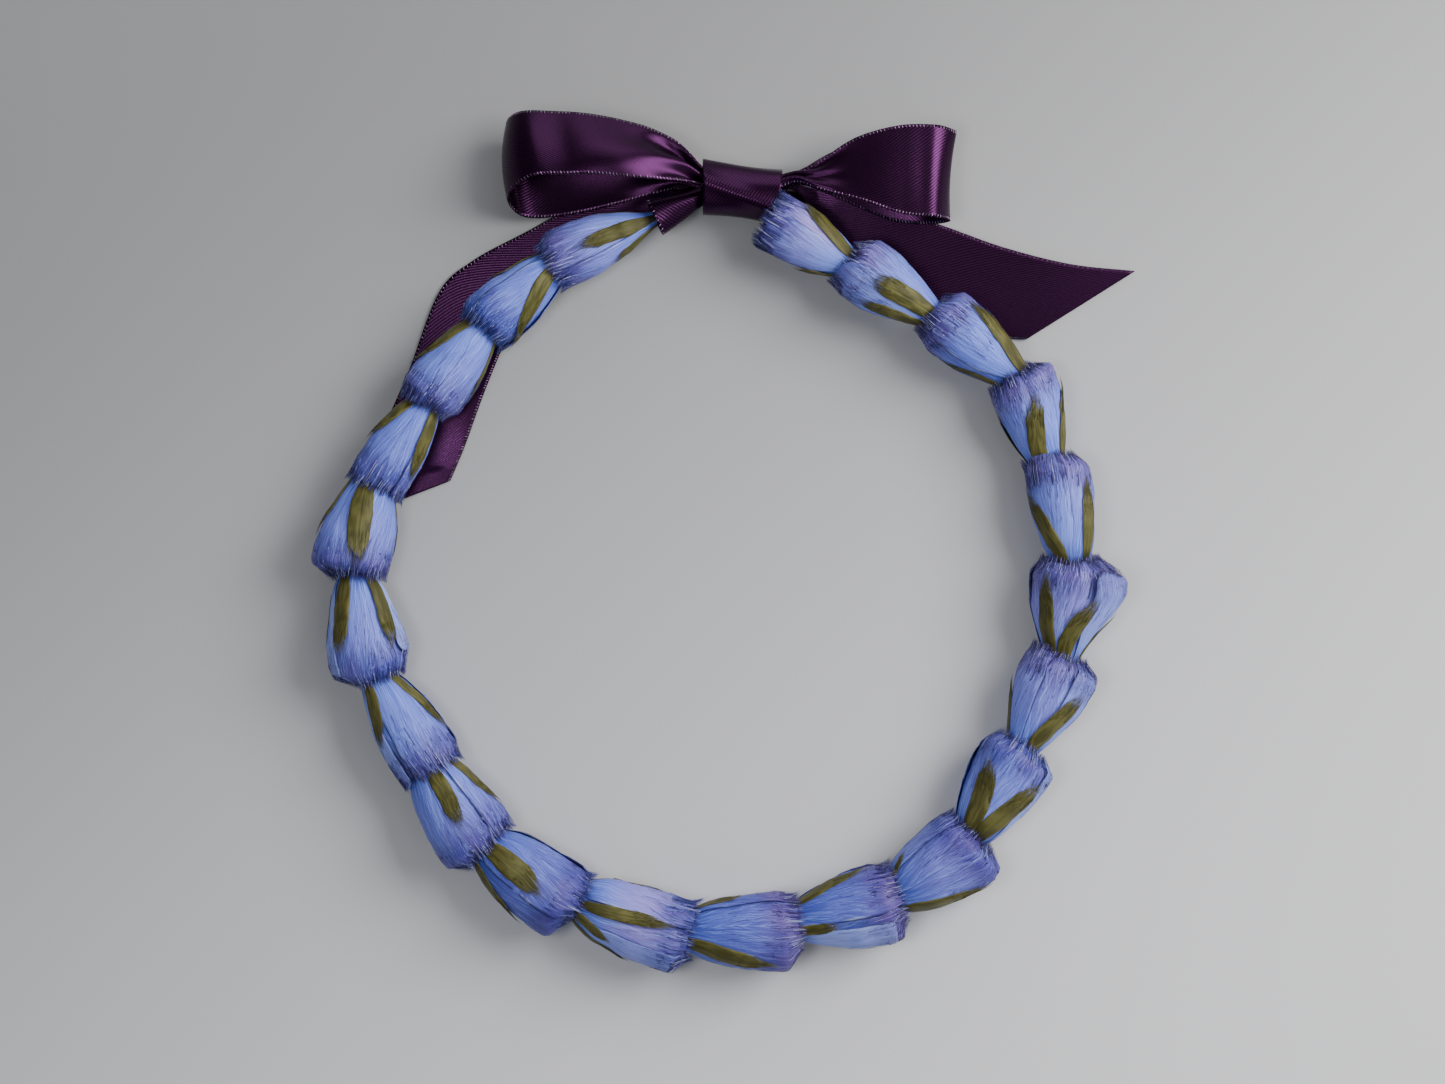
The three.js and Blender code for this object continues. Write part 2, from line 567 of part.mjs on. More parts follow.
function knot() {
  const axis = KNOT_RIGHT.clone().sub(KNOT_LEFT);
  const ellipse = (kind, inset) =>
    new kind().absellipse(0, 0, KNOT_HALF_Y - inset, KNOT_HALF_Z - inset, 0, 2 * Math.PI);
  const wall = ellipse(THREE.Shape, 0);
  wall.holes.push(ellipse(THREE.Path, RIBBON_THICKNESS));
  const spare = 2;
  const sleeve = new THREE.ExtrudeGeometry(wall, {
    depth: axis.length() + spare, steps: 1, bevelEnabled: false, curveSegments: 9,
  });
  sleeve.translate(0, 0, -spare).rotateX(Math.PI / 2).rotateZ(Math.PI / 2 + Math.atan2(axis.y, axis.x));
  sleeve.translate(KNOT_LEFT.x, KNOT_LEFT.y, KNOT_LEFT.z);
  const last = places[places.length - 1];
  const stop = last.rim.clone().addScaledVector(last.along, KNOT_CLEARANCE);
  const left = new THREE.Vector3(-1, 0, 0);
  return solidOf(sleeve)
    .subtract(blockBeyond(KNOT_LEFT, left))
    .subtract(blockBeyond(stop, last.along.clone().negate()));
}

// The band: a turn of ribbon that binds the first blossom's base, narrowed towards the knot.
function band() {
  const first = places[0];
  const wide = first.start.clone().addScaledVector(first.along, first.hidden - 1.4);
  const narrow = new THREE.Vector3(-4.2, 85.2, 8.5);
  const axis = wide.clone().sub(narrow);
  const wall = [[1.4, 0], [2.1, 0], [4.9, axis.length()], [4.15, axis.length()], [1.4, 0]];
  const cone = new THREE.LatheGeometry(wall.map(([r, y]) => new THREE.Vector2(r, y)), 14);
  const turn = new THREE.Quaternion().setFromUnitVectors(new THREE.Vector3(0, 1, 0), axis.normalize());
  cone.applyQuaternion(turn);
  return solidOf(cone.translate(narrow.x, narrow.y, narrow.z));
}

// A mesh in its group: the solid is worked out in the lei's own frame and moved into the group's.
function meshIn(group, name, solid, finish) {
  const m = solid.getMesh();
  const geometry = new THREE.BufferGeometry();
  geometry.setAttribute("position", new THREE.BufferAttribute(Float32Array.from(m.vertProperties), 3));
  geometry.setIndex(new THREE.BufferAttribute(m.triVerts, 1));
  group.updateMatrixWorld();
  geometry.applyMatrix4(group.matrixWorld.clone().invert());
  geometry.computeVertexNormals();
  const mesh = new THREE.Mesh(geometry, new THREE.MeshStandardMaterial(finish));
  mesh.name = name;
  group.add(mesh);
}

const BLUE_FEATHER = { color: 0x6f82c8, roughness: 0.55, metalness: 0 };
const GREEN_FEATHER = { color: 0x55531f, roughness: 0.6, metalness: 0 };
const SATIN = { color: 0x35103a, roughness: 0.35, metalness: 0.3 };
const THREAD = { color: 0x4a4432, roughness: 0.85, metalness: 0 };

const lei = new THREE.Group();
lei.name = "feather_lei";

places.forEach((place, i) => {
  const number = String(i + 1).padStart(2, "0");
  const floor = new THREE.Vector3(0, 0, OVER_TAILS.includes(i + 1) ? TAIL_CLEARANCE : 0);
  const under = blockBeyond(floor, UP.clone().negate());
  const group = new THREE.Group();
  group.position.copy(place.start);
  const axes = new THREE.Matrix4().makeBasis(place.up, place.out, place.along);
  group.quaternion.setFromRotationMatrix(axes);
  lei.add(group);
  meshIn(group, "blossom_" + number, blossom(i).subtract(under), BLUE_FEATHER);
  meshIn(group, "sepals_" + number, sepals(i).subtract(under), GREEN_FEATHER);
});

meshIn(lei, "core_cord", cord(), THREAD);

const bow = new THREE.Group();
bow.position.copy(KNOT_LEFT).lerp(KNOT_RIGHT, 0.5);
lei.add(bow);
meshIn(bow, "bow_knot", knot(), SATIN);
meshIn(bow, "bow_band", band(), SATIN);
meshIn(bow, "bow_loop_left", ribbon(LOOP_LEFT, 0.5, 2), SATIN);
meshIn(bow, "bow_loop_right", ribbon(LOOP_RIGHT, 0.5, 2), SATIN);
meshIn(bow, "bow_tail_left", ribbon(TAIL_LEFT, 0, 2), SATIN);
meshIn(bow, "bow_tail_right", tailRight(), SATIN);

export default lei;
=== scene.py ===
"""A feather lei: blue feather blossoms with green feathers on a cord, tied with a satin ribbon bow."""

import math

import bpy
import numpy as np
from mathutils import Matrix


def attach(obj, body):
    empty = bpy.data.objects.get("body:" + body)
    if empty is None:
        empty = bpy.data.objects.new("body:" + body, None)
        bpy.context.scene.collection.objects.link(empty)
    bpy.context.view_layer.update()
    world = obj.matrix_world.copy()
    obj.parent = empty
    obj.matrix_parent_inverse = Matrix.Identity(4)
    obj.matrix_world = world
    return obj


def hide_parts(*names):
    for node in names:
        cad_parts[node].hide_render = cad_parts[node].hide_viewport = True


bl_info = {
    "name": "Feather lei",
    "version": (1, 0, 0),
    "blender": (4, 5, 0),
    "location": "3D View > Sidebar > Lei",
    "description": "Blue feather blossoms with green feathers on a cord, tied with a satin ribbon bow",
    "category": "Add Mesh",
}

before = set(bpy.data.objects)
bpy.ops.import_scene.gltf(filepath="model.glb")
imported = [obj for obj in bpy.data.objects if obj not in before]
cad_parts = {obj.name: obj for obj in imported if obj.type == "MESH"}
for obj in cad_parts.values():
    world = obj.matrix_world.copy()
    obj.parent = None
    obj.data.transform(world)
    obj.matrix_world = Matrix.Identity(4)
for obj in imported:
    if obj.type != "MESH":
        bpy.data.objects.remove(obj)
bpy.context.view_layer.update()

MM = 0.001
SEED = 11

# Sizes of the solids, in millimetres and degrees.
BORE_RADIUS = 1.2
TUBE_RADIUS = 1.9
TUBE_LENGTH = 3.0
HIDDEN_LENGTH = 9.0
FIRST_HIDDEN_LENGTH = 5.0
PETAL_COUNT = 3
PETAL_HALF_ANGLE = 76.0
PETAL_ROOT_ANGLE = 56.0
PETAL_SPIRAL = 0.7
SEPAL_RING_LENGTH = 2.0
TAIL_CLEARANCE = 1.3
FLOOR_SINK = 0.4
SWELL = [(0, 0), (0.3, 0.64), (0.58, 0.97), (0.82, 1.0), (1.0, 0.86)]
CUP_DEPTH = 6.0
CUP_WIDTH = 0.76
OVER_TAILS = (1, 2, 3, 4, 19, 20, 21)
PETAL_REACH = 0.6

# How far beside a petal, in degrees, its side still counts, how far feathers stay above the floor, and
# how far out a green feather reaches from its blossom.
REACH_MARGIN, FLOOR_GAP, GREEN_HEIGHT = 10.0, 0.15, 0.75

# Where the base of each blossom stands, and the middle of its rim.
JOINTS = [
    (-17.9, 78.6), (-43.3, 65.9), (-59.7, 50.5), (-73.8, 31.7), (-86.0, 12.2), (-89.2, -11.3),
    (-83.1, -35.6), (-70.4, -57.1), (-55.0, -76.4), (-31.8, -88.6), (-5.5, -95.4), (20.4, -92.2),
    (44.8, -84.4), (62.4, -68.4), (74.3, -47.6), (82.8, -25.9), (84.9, -1.7), (78.9, 21.7),
    (69.4, 42.2), (48.8, 57.1), (28.2, 69.5),
]
RIMS = [
    (-43.8, 67.3), (-60.4, 51.0), (-73.8, 32.2), (-86.0, 12.2), (-92.1, -10.0), (-84.8, -34.9),
    (-69.7, -56.9), (-57.2, -77.1), (-34.8, -91.0), (-6.2, -97.6), (20.4, -95.2), (45.0, -86.9),
    (64.0, -71.5), (74.3, -48.8), (84.3, -26.4), (86.7, -2.4), (81.1, 22.0), (71.9, 43.2),
    (50.6, 57.3), (29.4, 69.5), (11.6, 79.3),
]

# For each blossom: half width, width of its base as a share of that, turn of its feathers, shares of
# lilac dye, of deep blue (highest on blossoms 9, 11 and 12, darkening the bottom of the ring) and of
# mauve dye, and its green feathers as azimuth where they come out of the rim before it, azimuth at the
# tip, share of the length, and width. Azimuth 0 faces up, 90 faces out of the ring and -90 faces into it.
BLOSSOMS = [
    (7.6, 0.3, 20, 0.3, 0.1, 0.6, [(0, 4, 0.68, 4.4), (-74, -66, 0.42, 3), (120, 110, 0.6, 4)]),
    (8.2, 0.66, -35, 0.1, 0.05, 0.1, [(-16, -76, 0.8, 4.8), (84, 86, 0.5, 3.6), (-135, -125, 0.5, 4)]),
    (8.2, 0.63, 60, 0.2, 0, 0.6, [(48, 78, 0.64, 4.8), (-82, -84, 0.6, 3.2), (-145, -140, 0.6, 4)]),
    (7.7, 0.68, 5, 0.1, 0.15, 0.3, [(46, 76, 0.52, 5), (-48, -64, 0.7, 4.2), (130, 125, 0.6, 4)]),
    (10.0, 0.63, 40, 0.2, 0.05, 0.5, [(8, -14, 0.82, 6.0), (82, 80, 0.55, 3.6), (-104, -112, 0.6, 4)]),
    (9.5, 0.64, -20, 0.2, 0.15, 0.3, [
        (28, 38, 0.64, 5), (-48, -42, 0.66, 4.2), (104, 100, 0.5, 3.4), (-120, -130, 0.5, 4),
    ]),
    (8.9, 0.63, 75, 0.1, 0.15, 0.5, [(34, 56, 0.5, 4.2), (-56, -76, 0.64, 4), (130, 140, 0.6, 4)]),
    (10.2, 0.7, 15, 0.2, 0.2, 0.5, [(-6, 4, 0.62, 4.8), (-62, -80, 0.6, 4.2), (125, 120, 0.6, 4)]),
    (10.0, 0.74, -50, 0.15, 0.85, 0.25, [(-8, 2, 0.6, 6), (56, 82, 0.54, 4.6), (-120, -110, 0.5, 4)]),
    (9.5, 0.74, 30, 0.7, 0.2, 0.2, [
        (-2, -14, 0.74, 3.4), (40, 46, 0.26, 3), (74, 94, 0.46, 4.6), (-115, -130, 0.6, 4),
    ]),
    (10.1, 0.66, -10, 0.1, 0.95, 0.8, [(24, 48, 0.73, 5.2), (-80, -76, 0.4, 3.4), (115, 120, 0.6, 4)]),
    (10.1, 0.6, 55, 0.1, 1.0, 0.8, [(-62, -78, 0.68, 4), (20, 14, 0.3, 3), (125, 130, 0.6, 4)]),
    (10.6, 0.66, 0, 0.25, 0.6, 0.4, [(50, 72, 0.74, 6.0), (-50, -60, 0.2, 2), (-120, -125, 0.6, 4)]),
    (9.8, 0.65, -40, 0.15, 0.3, 0.3, [(-24, -38, 0.66, 6), (20, 48, 0.7, 6.4), (130, 125, 0.6, 4)]),
    (9.6, 0.55, 25, 0.35, 0, 0.7, [(25, 45, 0.66, 5.2), (-82, -82, 0.5, 3.4), (120, 130, 0.6, 4)]),
    (10.5, 0.5, 65, 0.5, 0, 0.8, [
        (-38, -46, 0.74, 4.8), (5, 27, 0.58, 4.8), (82, 84, 0.4, 3), (-130, -130, 0.6, 4),
    ]),
    (8.5, 0.72, -15, 0.3, 0.05, 1.0, [(-32, -72, 0.62, 4.8), (42, 47, 0.68, 4), (135, 125, 0.6, 4)]),
    (8.8, 0.6, 45, 0.15, 0, 0.9, [(-18, 8, 0.66, 5.2), (62, 84, 0.74, 3.8), (-125, -120, 0.6, 4)]),
    (8.5, 0.6, -60, 0.1, 0.1, 0.9, [
        (34, 54, 0.76, 4.6), (72, 86, 0.5, 3.4), (-78, -82, 0.56, 3.4), (140, 135, 0.6, 4),
    ]),
    (8.3, 0.55, 10, 0.15, 0.1, 0.8, [(-4, -8, 0.66, 5.4), (-60, -54, 0.62, 3.8), (110, 105, 0.6, 4)]),
    (7.9, 0.64, -30, 0.95, 0, 0.5, [(34, 58, 0.76, 4.4), (-80, -74, 0.4, 3), (130, 125, 0.6, 4)]),
]

# Pale outer feathers over some blossoms: blossom, azimuth, half angle, share of the length, how far
# it stands off, how pale, and how much shorter it is on its side away from the top.
OUTER_FEATHERS = [
    (3, 34, 40, 0.97, 0.0, 0.0, 0), (6, 74, 26, 0.96, 0.5, 0.9, 0), (6, -72, 18, 0.7, 0.4, 1.0, 0),
    (7, 74, 34, 0.97, 0.4, 0.7, 0), (10, 62, 34, 0.97, 0.2, 0.4, 0), (12, 62, 40, 0.97, 0.2, 0.7, 0),
    (14, 78, 26, 0.96, 0.4, 0.8, 0), (15, 66, 44, 0.96, 0.6, 0.4, 0.04), (16, 70, 46, 0.9, 3.0, 0.4, 0.16),
    (17, -30, 40, 0.97, 0.0, 0.1, 0), (19, 4, 50, 0.97, 0.0, 0.0, 0), (20, -40, 44, 0.97, 0.1, 0.4, 0),
    (21, -30, 44, 0.97, 0.1, 0.2, 0),
]

# Edge points of the ribbon's lengths: the edge further from the ring, then the nearer one.
LOOP_LEFT = [
    (-2.4, 90.8, 10.8, -2.4, 86.8, 12.2), (-5.6, 91.4, 11.2, -5.4, 87.0, 12.6),
    (-12.3, 98.6, 11.6, -10.4, 87.4, 14.6), (-24.5, 102.7, 12.2, -22.1, 87.4, 17.2),
    (-38.4, 104.9, 12.8, -36.0, 88.6, 19.6), (-48.9, 105.0, 11.8, -45.8, 88.3, 20.0),
    (-52.8, 102.7, 7.5, -52.3, 84.2, 12.0), (-49.4, 101.0, 4.0, -48.9, 80.0, 4.2),
    (-38.4, 101.0, 3.4, -38.4, 80.5, 2.6), (-25.0, 100.0, 4.6, -25.0, 83.4, 3.4),
    (-13.3, 96.6, 6.0, -12.3, 86.6, 4.6), (-5.6, 91.8, 7.4, -5.4, 86.4, 5.6),
    (-2.4, 91.2, 7.4, -2.4, 86.2, 5.8),
]
LOOP_RIGHT = [
    (11.0, 88.2, 10.0, 11.0, 84.8, 12.2), (14.3, 89.0, 10.6, 14.3, 87.0, 12.6),
    (18.5, 91.2, 11.2, 18.5, 87.8, 13.2), (24.3, 93.7, 11.8, 24.3, 85.5, 14.0),
    (33.1, 98.6, 12.6, 34.0, 82.7, 15.4), (43.3, 101.3, 13.4, 43.3, 79.5, 16.8),
    (51.9, 101.5, 13.6, 51.1, 78.8, 17.2), (57.2, 100.3, 9.0, 55.5, 78.3, 11.0),
    (51.9, 101.0, 4.8, 50.6, 78.0, 5.2), (40.9, 100.3, 3.6, 41.4, 79.2, 3.0),
    (28.2, 96.4, 4.0, 29.2, 84.2, 3.2), (19.4, 91.4, 5.6, 19.8, 87.8, 4.8),
    (15.0, 89.2, 7.0, 15.0, 86.6, 5.6), (11.4, 88.4, 7.4, 11.4, 86.0, 6.0),
]
TAIL_LEFT = [
    (-2.4, 86.2, 3.9, -2.4, 83.6, 4.4), (-5.4, 86.6, 3.8, -5.4, 83.2, 4.6),
    (-11.0, 87.4, 1.4, -10.6, 80.6, 1.4), (-20.1, 88.3, 0.4, -17.6, 78.6, 0.4),
    (-33.5, 84.6, 0.4, -29.0, 69.6, 0.4), (-47.5, 77.1, 0.4, -42.8, 61.4, 0.4),
    (-61.6, 69.5, 0.4, -51.8, 53.4, 0.4), (-70.1, 61.5, 0.4, -54.3, 48.1, 0.4),
    (-77.5, 42.0, 0.4, -59.2, 35.9, 0.4), (-83.6, 27.3, 0.4, -63.6, 23.7, 0.4),
    (-90.4, 6.1, 0.4, -67.2, 15.1, 0.4),
]
TAIL_RIGHT = [
    (10.6, 87.4, 4.6, 10.6, 84.8, 3.9), (14.8, 88.0, 4.6, 14.8, 85.6, 3.7),
    (18.0, 88.4, 1.5, 17.2, 84.0, 1.1), (22.0, 87.4, 0.6, 18.4, 78.2, 0.4),
    (27.4, 86.4, 1.0, 21.9, 73.4, 0.4), (42.6, 82.0, 1.5, 36.2, 61.0, 0.4),
    (56.0, 77.4, 1.7, 50.2, 56.0, 0.4), (69.6, 72.6, 1.5, 60.0, 52.6, 0.4),
    (85.8, 68.6, 1.1, 68.6, 50.6, 0.4), (101.9, 66.9, 0.6, 75.0, 50.0, 0.4),
]
KNOT_LEFT = (-4.8, 86.9, 8.2)
KNOT_RIGHT = (14.6, 84.5, 8.2)
KNOT_HALF = (7.0, 6.6)
BAND_TOP = (-4.2, 85.2, 8.5)

# The wraps of the knot and of the band: where they start and how far they turn, in radians, the width
# of ribbon that shows, and how much further out the wrap ends than it starts.
KNOT_START, KNOT_TURN, KNOT_WIDTH, KNOT_SPREAD = -2.0, 6.9, 19.5, 0.35
BAND_START, BAND_TURN, BAND_WIDTH, BAND_SPREAD = 1.9, 7.2, 12.5, 0.3

# The knot's narrower waist, its creases and its ridge, as shares of its radius.
KNOT_WAIST, KNOT_CREASE, KNOT_RIDGE = 0.07, 0.02, 0.16

# Radius of the band at its wide and at its narrow end, and the ripple on it.
BAND_WIDE, BAND_NARROW, BAND_RIPPLE = 4.5, 1.7, 0.18

# Soft bulges and hollows of a length: share along it, share across it, size along, size across, height.
HUMPS = {
    "loop_left": [(0.22, 0.8, 0.11, 0.45, 2.6), (0.1, 0.15, 0.04, 0.3, -1.2), (0.36, 0.4, 0.05, 0.6, -1.0)],
    "loop_right": [(0.12, 0.15, 0.05, 0.25, 1.2), (0.26, 0.6, 0.1, 0.6, -1.2), (0.4, 0.5, 0.03, 1.0, 0.5)],
    "tail_left": [(0.84, 0.0, 0.12, 0.6, 1.6)],
    "tail_right": [],
}

# Half length, half width and slant of a stitch, how far it stands in from the edge, and how far it
# stands proud of the ribbon.
STITCH_HALF, STITCH_ROUND, STITCH_SLANT = 0.5, 0.13, 0.16
STITCH_INSET, STITCH_PROUD = 0.42, 0.06

# Height of the ribbon and of its stitches above the floor, at least.
RIBBON_FLOOR, STITCH_FLOOR = 0.05, 0.02

# Heights of a petal's flutes, broad swells and curled sides.
FLUTES, SWELLS, CURL = 0.16, 0.3, 0.15

# The broad and the fine raggedness of a rim, how far its petals differ, how far its sides are drawn
# back as a share of the length, how much shorter it is than the solid, and how far the last one goes
# on over the knot.
RAGGED, FRAYED, UNEVEN, ROUNDED, SHORTER, OVER_KNOT = 0.4, 0.2, 0.6, 0.02, 0.4, 1.8

# Tufts of barbs across a petal, and shares of barbs that lie along the vane, that lie flat under the
# others, that are pale, and that stand loose.
LOCKS = 42
FIBRES, FLAT_BARBS, PALE_BARBS, FLYAWAYS = 0.2, 0.18, 0.12, 0.01

# Share of a barb's length over which its direction is measured, how much narrower it is at the tip,
# and its thickness as a share of its width.
BARB_STEP, BARB_TAPER, BARB_FLATNESS = 0.02, 0.92, 0.6

# The thread round the feathers' roots: turns, distance from one to the next, radius, and how much the
# section of its ring is scaled.
THREAD_TURNS, THREAD_PITCH, THREAD_RADIUS, THREAD_SIZE = 5, 0.4, 2.5, 0.9

# Where a feather's width is looked at, from one side to the other.
ACROSS = (-1, -0.5, 0, 0.5, 1)

# Height over which what bends towards the floor flattens out.
FLOOR_EASE = 0.8

# Height of the camera above the floor in metres, and its lens in millimetres.
CAMERA_HEIGHT, LENS = 0.843, 85


def measure(name, text, size, least, most):
    """A length property, from sizes in millimetres."""
    return bpy.props.FloatProperty(
        name=name, description=text, default=size * MM, min=least * MM, max=most * MM, unit="LENGTH",
    )


class LeiSizes(bpy.types.PropertyGroup):
    """Sizes of the feathers and of the ribbon."""

    vane_thickness: measure("Vane thickness", "Thickness of a feather's vane", 0.12, 0.05, 0.6)
    barb_width: measure("Barb width", "Half width of a loose barb at its root", 0.08, 0.03, 0.4)
    barbs: bpy.props.IntProperty(
        name="Barbs", description="Loose barbs round the rim of each blossom",
        default=1300, min=40, max=2000,
    )
    ribbon_width: measure("Ribbon width", "Width of the satin ribbon when it lies flat", 22, 10, 40)
    ribbon_thickness: measure("Ribbon thickness", "Thickness of the satin ribbon", 0.3, 0.1, 0.8)
    stitch_pitch: measure(
        "Stitch pitch", "Distance between two stitches of the ribbon's edge", 0.83, 0.4, 3,
    )


def dye(name, text, rgb):
    """A colour property from 0 to 255 display values."""
    return bpy.props.FloatVectorProperty(
        name=name, description=text, subtype="COLOR", size=3, min=0, max=1,
        default=[linear(c) for c in rgb],
    )


def linear(value):
    c = value / 255
    return c / 12.92 if c <= 0.04045 else ((c + 0.055) / 1.055) ** 2.4


class LeiColours(bpy.types.PropertyGroup):
    """Dyes of the feathers and of the ribbon."""

    light_blue: dye("Light blue", "Middle of a blue feather", (94, 116, 220))
    # Deep blue darkens each blossom by its deep share, most along the bottom of the ring.
    deep_blue: dye("Deep blue", "Blue feather in its deeper dye", (50, 66, 162))
    lilac: dye("Lilac", "Blue feather in its lilac dye", (150, 128, 202))
    # Night blue is partly dye and partly painted shadow between the barbs.
    night: dye("Night blue", "Darkest barbs", (20, 18, 64))
    indigo: dye("Indigo", "Dark barbs at the rim", (35, 34, 118))
    mauve: dye("Mauve", "Patches near the rim", (108, 80, 138))
    violet: dye("Violet", "Middle barbs at the rim", (70, 53, 128))
    plum_barb: dye("Plum barb", "Dark mauve barbs at the rim", (58, 36, 96))
    # The light streak colour is partly the fibres' own streaks and partly painted sheen.
    streak_and_sheen: dye("Sky blue", "Light streaks of a blue feather", (140, 168, 255))
    # The pale colour also paints the glints on the vanes, which are painted highlights.
    pale: dye("Pale edge", "Side edges and pale barbs", (194, 206, 250))
    green: dye("Olive green", "Green feathers", (62, 60, 17))
    dark_green: dye("Dark green", "Ribs and base of the green feathers", (34, 31, 8))
    light_green: dye("Light green", "Edges and tips of the green feathers", (98, 95, 46))
    plum: dye("Plum", "Satin ribbon", (46, 15, 48))
    plum_stitch: dye("Stitch", "Stitches of the ribbon's edge", (206, 172, 214))
    floor: dye("Floor", "Surface that the lei lies on", (164, 165, 168))


def sizes():
    return bpy.context.scene.lei_sizes


def colours():
    return bpy.context.scene.lei_colours


def detail(full, quick):
    """How finely something is made: always full; quick is not used."""
    return full


# Shapes worked out in millimetres.


def ramp(x, low, high):
    t = np.clip((np.asarray(x, float) - low) / (high - low), 0, 1)
    return t * t * (3 - 2 * t)


def curve_value(x, points):
    """A smooth curve through a short list of (x, y) points."""
    xs, ys = np.array(points, float).T
    slopes = np.gradient(ys, xs)
    slopes[0] = (ys[1] - ys[0]) / (xs[1] - xs[0]) * 0.4
    x = np.clip(x, xs[0], xs[-1])
    k = np.clip(np.searchsorted(xs, x, side="right") - 1, 0, len(xs) - 2)
    h = xs[k + 1] - xs[k]
    t = (x - xs[k]) / h
    a, b = 2 * t**3 - 3 * t**2 + 1, t**3 - 2 * t**2 + t
    c, d = -2 * t**3 + 3 * t**2, t**3 - t**2
    return a * ys[k] + b * h * slopes[k] + c * ys[k + 1] + d * h * slopes[k + 1]


def unit(v):
    v = np.asarray(v, float)
    return v / np.linalg.norm(v, axis=-1, keepdims=True)


def noise(x, seed):
    """A smooth wavering line from -1 to 1."""
    phases = np.random.default_rng(abs(int(seed))).uniform(0, 2 * math.pi, 5)
    x = np.asarray(x, float)
    rates = (1.0, 2.3, 4.1, 7.7, 13.1)
    return sum(np.sin(x * f + p) / (k + 1) for k, (f, p) in enumerate(zip(rates, phases))) / 1.7


def angle_off(azimuth, middle):
    """Degrees from a middle to an azimuth, from -180 to 180."""
    return (azimuth - middle + 180) % 360 - 180


class Blossom:
    """Place, axes and profile of one blossom, counted from 1."""

    def __init__(self, number):
        self.number = number
        half_width, self.base, self.turn, *dyes, self.greens = BLOSSOMS[number - 1]
        self.lilac, self.deep, self.mauve = dyes
        self.half = half_width - PETAL_REACH
        foot = np.array([*JOINTS[number - 1], self.rest(max(number - 1, 1))])
        rim = np.array([*RIMS[number - 1], self.rest(number)])
        self.along = unit(rim - foot)
        self.out = unit(np.cross(self.along, (0, 0, 1)))
        self.up = np.cross(self.out, self.along)
        self.hidden = FIRST_HIDDEN_LENGTH if number == 1 else HIDDEN_LENGTH
        self.start = foot - self.along * self.hidden
        self.length = np.linalg.norm(rim - self.start)
        root = (BORE_RADIUS + TUBE_RADIUS) / 2
        self.profile = [(0, root), (TUBE_LENGTH, root)]
        if number > 1:
            self.profile.append((CUP_DEPTH, self.base * CUP_WIDTH * self.half))
        for share, swell in SWELL:
            self.profile.append((self.shown(share), (self.base + (1 - self.base) * swell) * self.half))

    @staticmethod
    def lift(number):
        """How far the ribbon tails raise a blossom."""
        return TAIL_CLEARANCE if number in OVER_TAILS else 0.0

    @classmethod
    def rest(cls, number):
        """Height of a blossom's middle above the floor."""
        return BLOSSOMS[number - 1][0] + cls.lift(number) - FLOOR_SINK

    def floor_height(self):
        return self.lift(self.number) + FLOOR_GAP

    def shown(self, share):
        """Distance from the base at a share of the length that shows."""
        return self.hidden + share * (self.length - self.hidden)

    def middle(self, petal):
        """Azimuth of a petal's middle line."""
        return self.turn + 360 / PETAL_COUNT * petal

    def radius(self, distance):
        return curve_value(distance, self.profile)

    def spiral(self, distance, u):
        return PETAL_SPIRAL / 2 * u * ramp(distance, 4, 11)

    def spread(self, distance):
        """Half the angle that a petal of the solid spans."""
        return PETAL_ROOT_ANGLE + (PETAL_HALF_ANGLE - PETAL_ROOT_ANGLE) * ramp(distance, 3, 8)

    def point(self, azimuth, distance, radius):
        a = np.radians(azimuth)
        outward = np.cos(a)[..., None] * self.up + np.sin(a)[..., None] * self.out
        return self.start + self.along * distance[..., None] + outward * radius[..., None]

    def outward(self, points):
        """From the blossom's axis to points, square to it, and how far along it they are."""
        away = points - self.start
        distance = away @ self.along
        return away - distance[..., None] * self.along, distance

    def reach(self, azimuth, distance):
        """How far the petals reach past their middle surface near an azimuth."""
        most = np.full(np.shape(azimuth), -PETAL_SPIRAL / 2)
        for petal in range(PETAL_COUNT):
            off = angle_off(azimuth, self.middle(petal))
            u = np.clip(off + REACH_MARGIN, -PETAL_HALF_ANGLE, PETAL_HALF_ANGLE) / PETAL_HALF_ANGLE
            near = np.abs(off) < PETAL_HALF_ANGLE + REACH_MARGIN
            most = np.where(near, np.maximum(most, self.spiral(distance, u)), most)
        return most

    def green_at(self, green, distance):
        """Azimuth of a green feather, and share along it, where it is that far from the base."""
        start, end, share, _ = green
        last = self.shown(share)
        shown = np.clip((distance - self.hidden) / (last - self.hidden), 0, 1.2)
        return start + (end - start) * shown, (distance - SEPAL_RING_LENGTH) / (last - SEPAL_RING_LENGTH)

    def envelope(self, azimuth, distance):
        """How far out the blossom and its green feathers reach."""
        radius = self.radius(distance)
        most = radius + self.reach(azimuth, distance) + 0.25
        for green in self.greens:
            middle, v = self.green_at(green, distance)
            wide = np.degrees(0.42 * green[3] / (radius + 1))
            off = np.abs(angle_off(azimuth, middle))
            most = most + GREEN_HEIGHT * (1 - ramp(off, wide, wide + 14)) * (v < 1.02)
        return np.where(distance < 0, 0, most)


PLACES = [Blossom(n) for n in range(1, len(BLOSSOMS) + 1)]


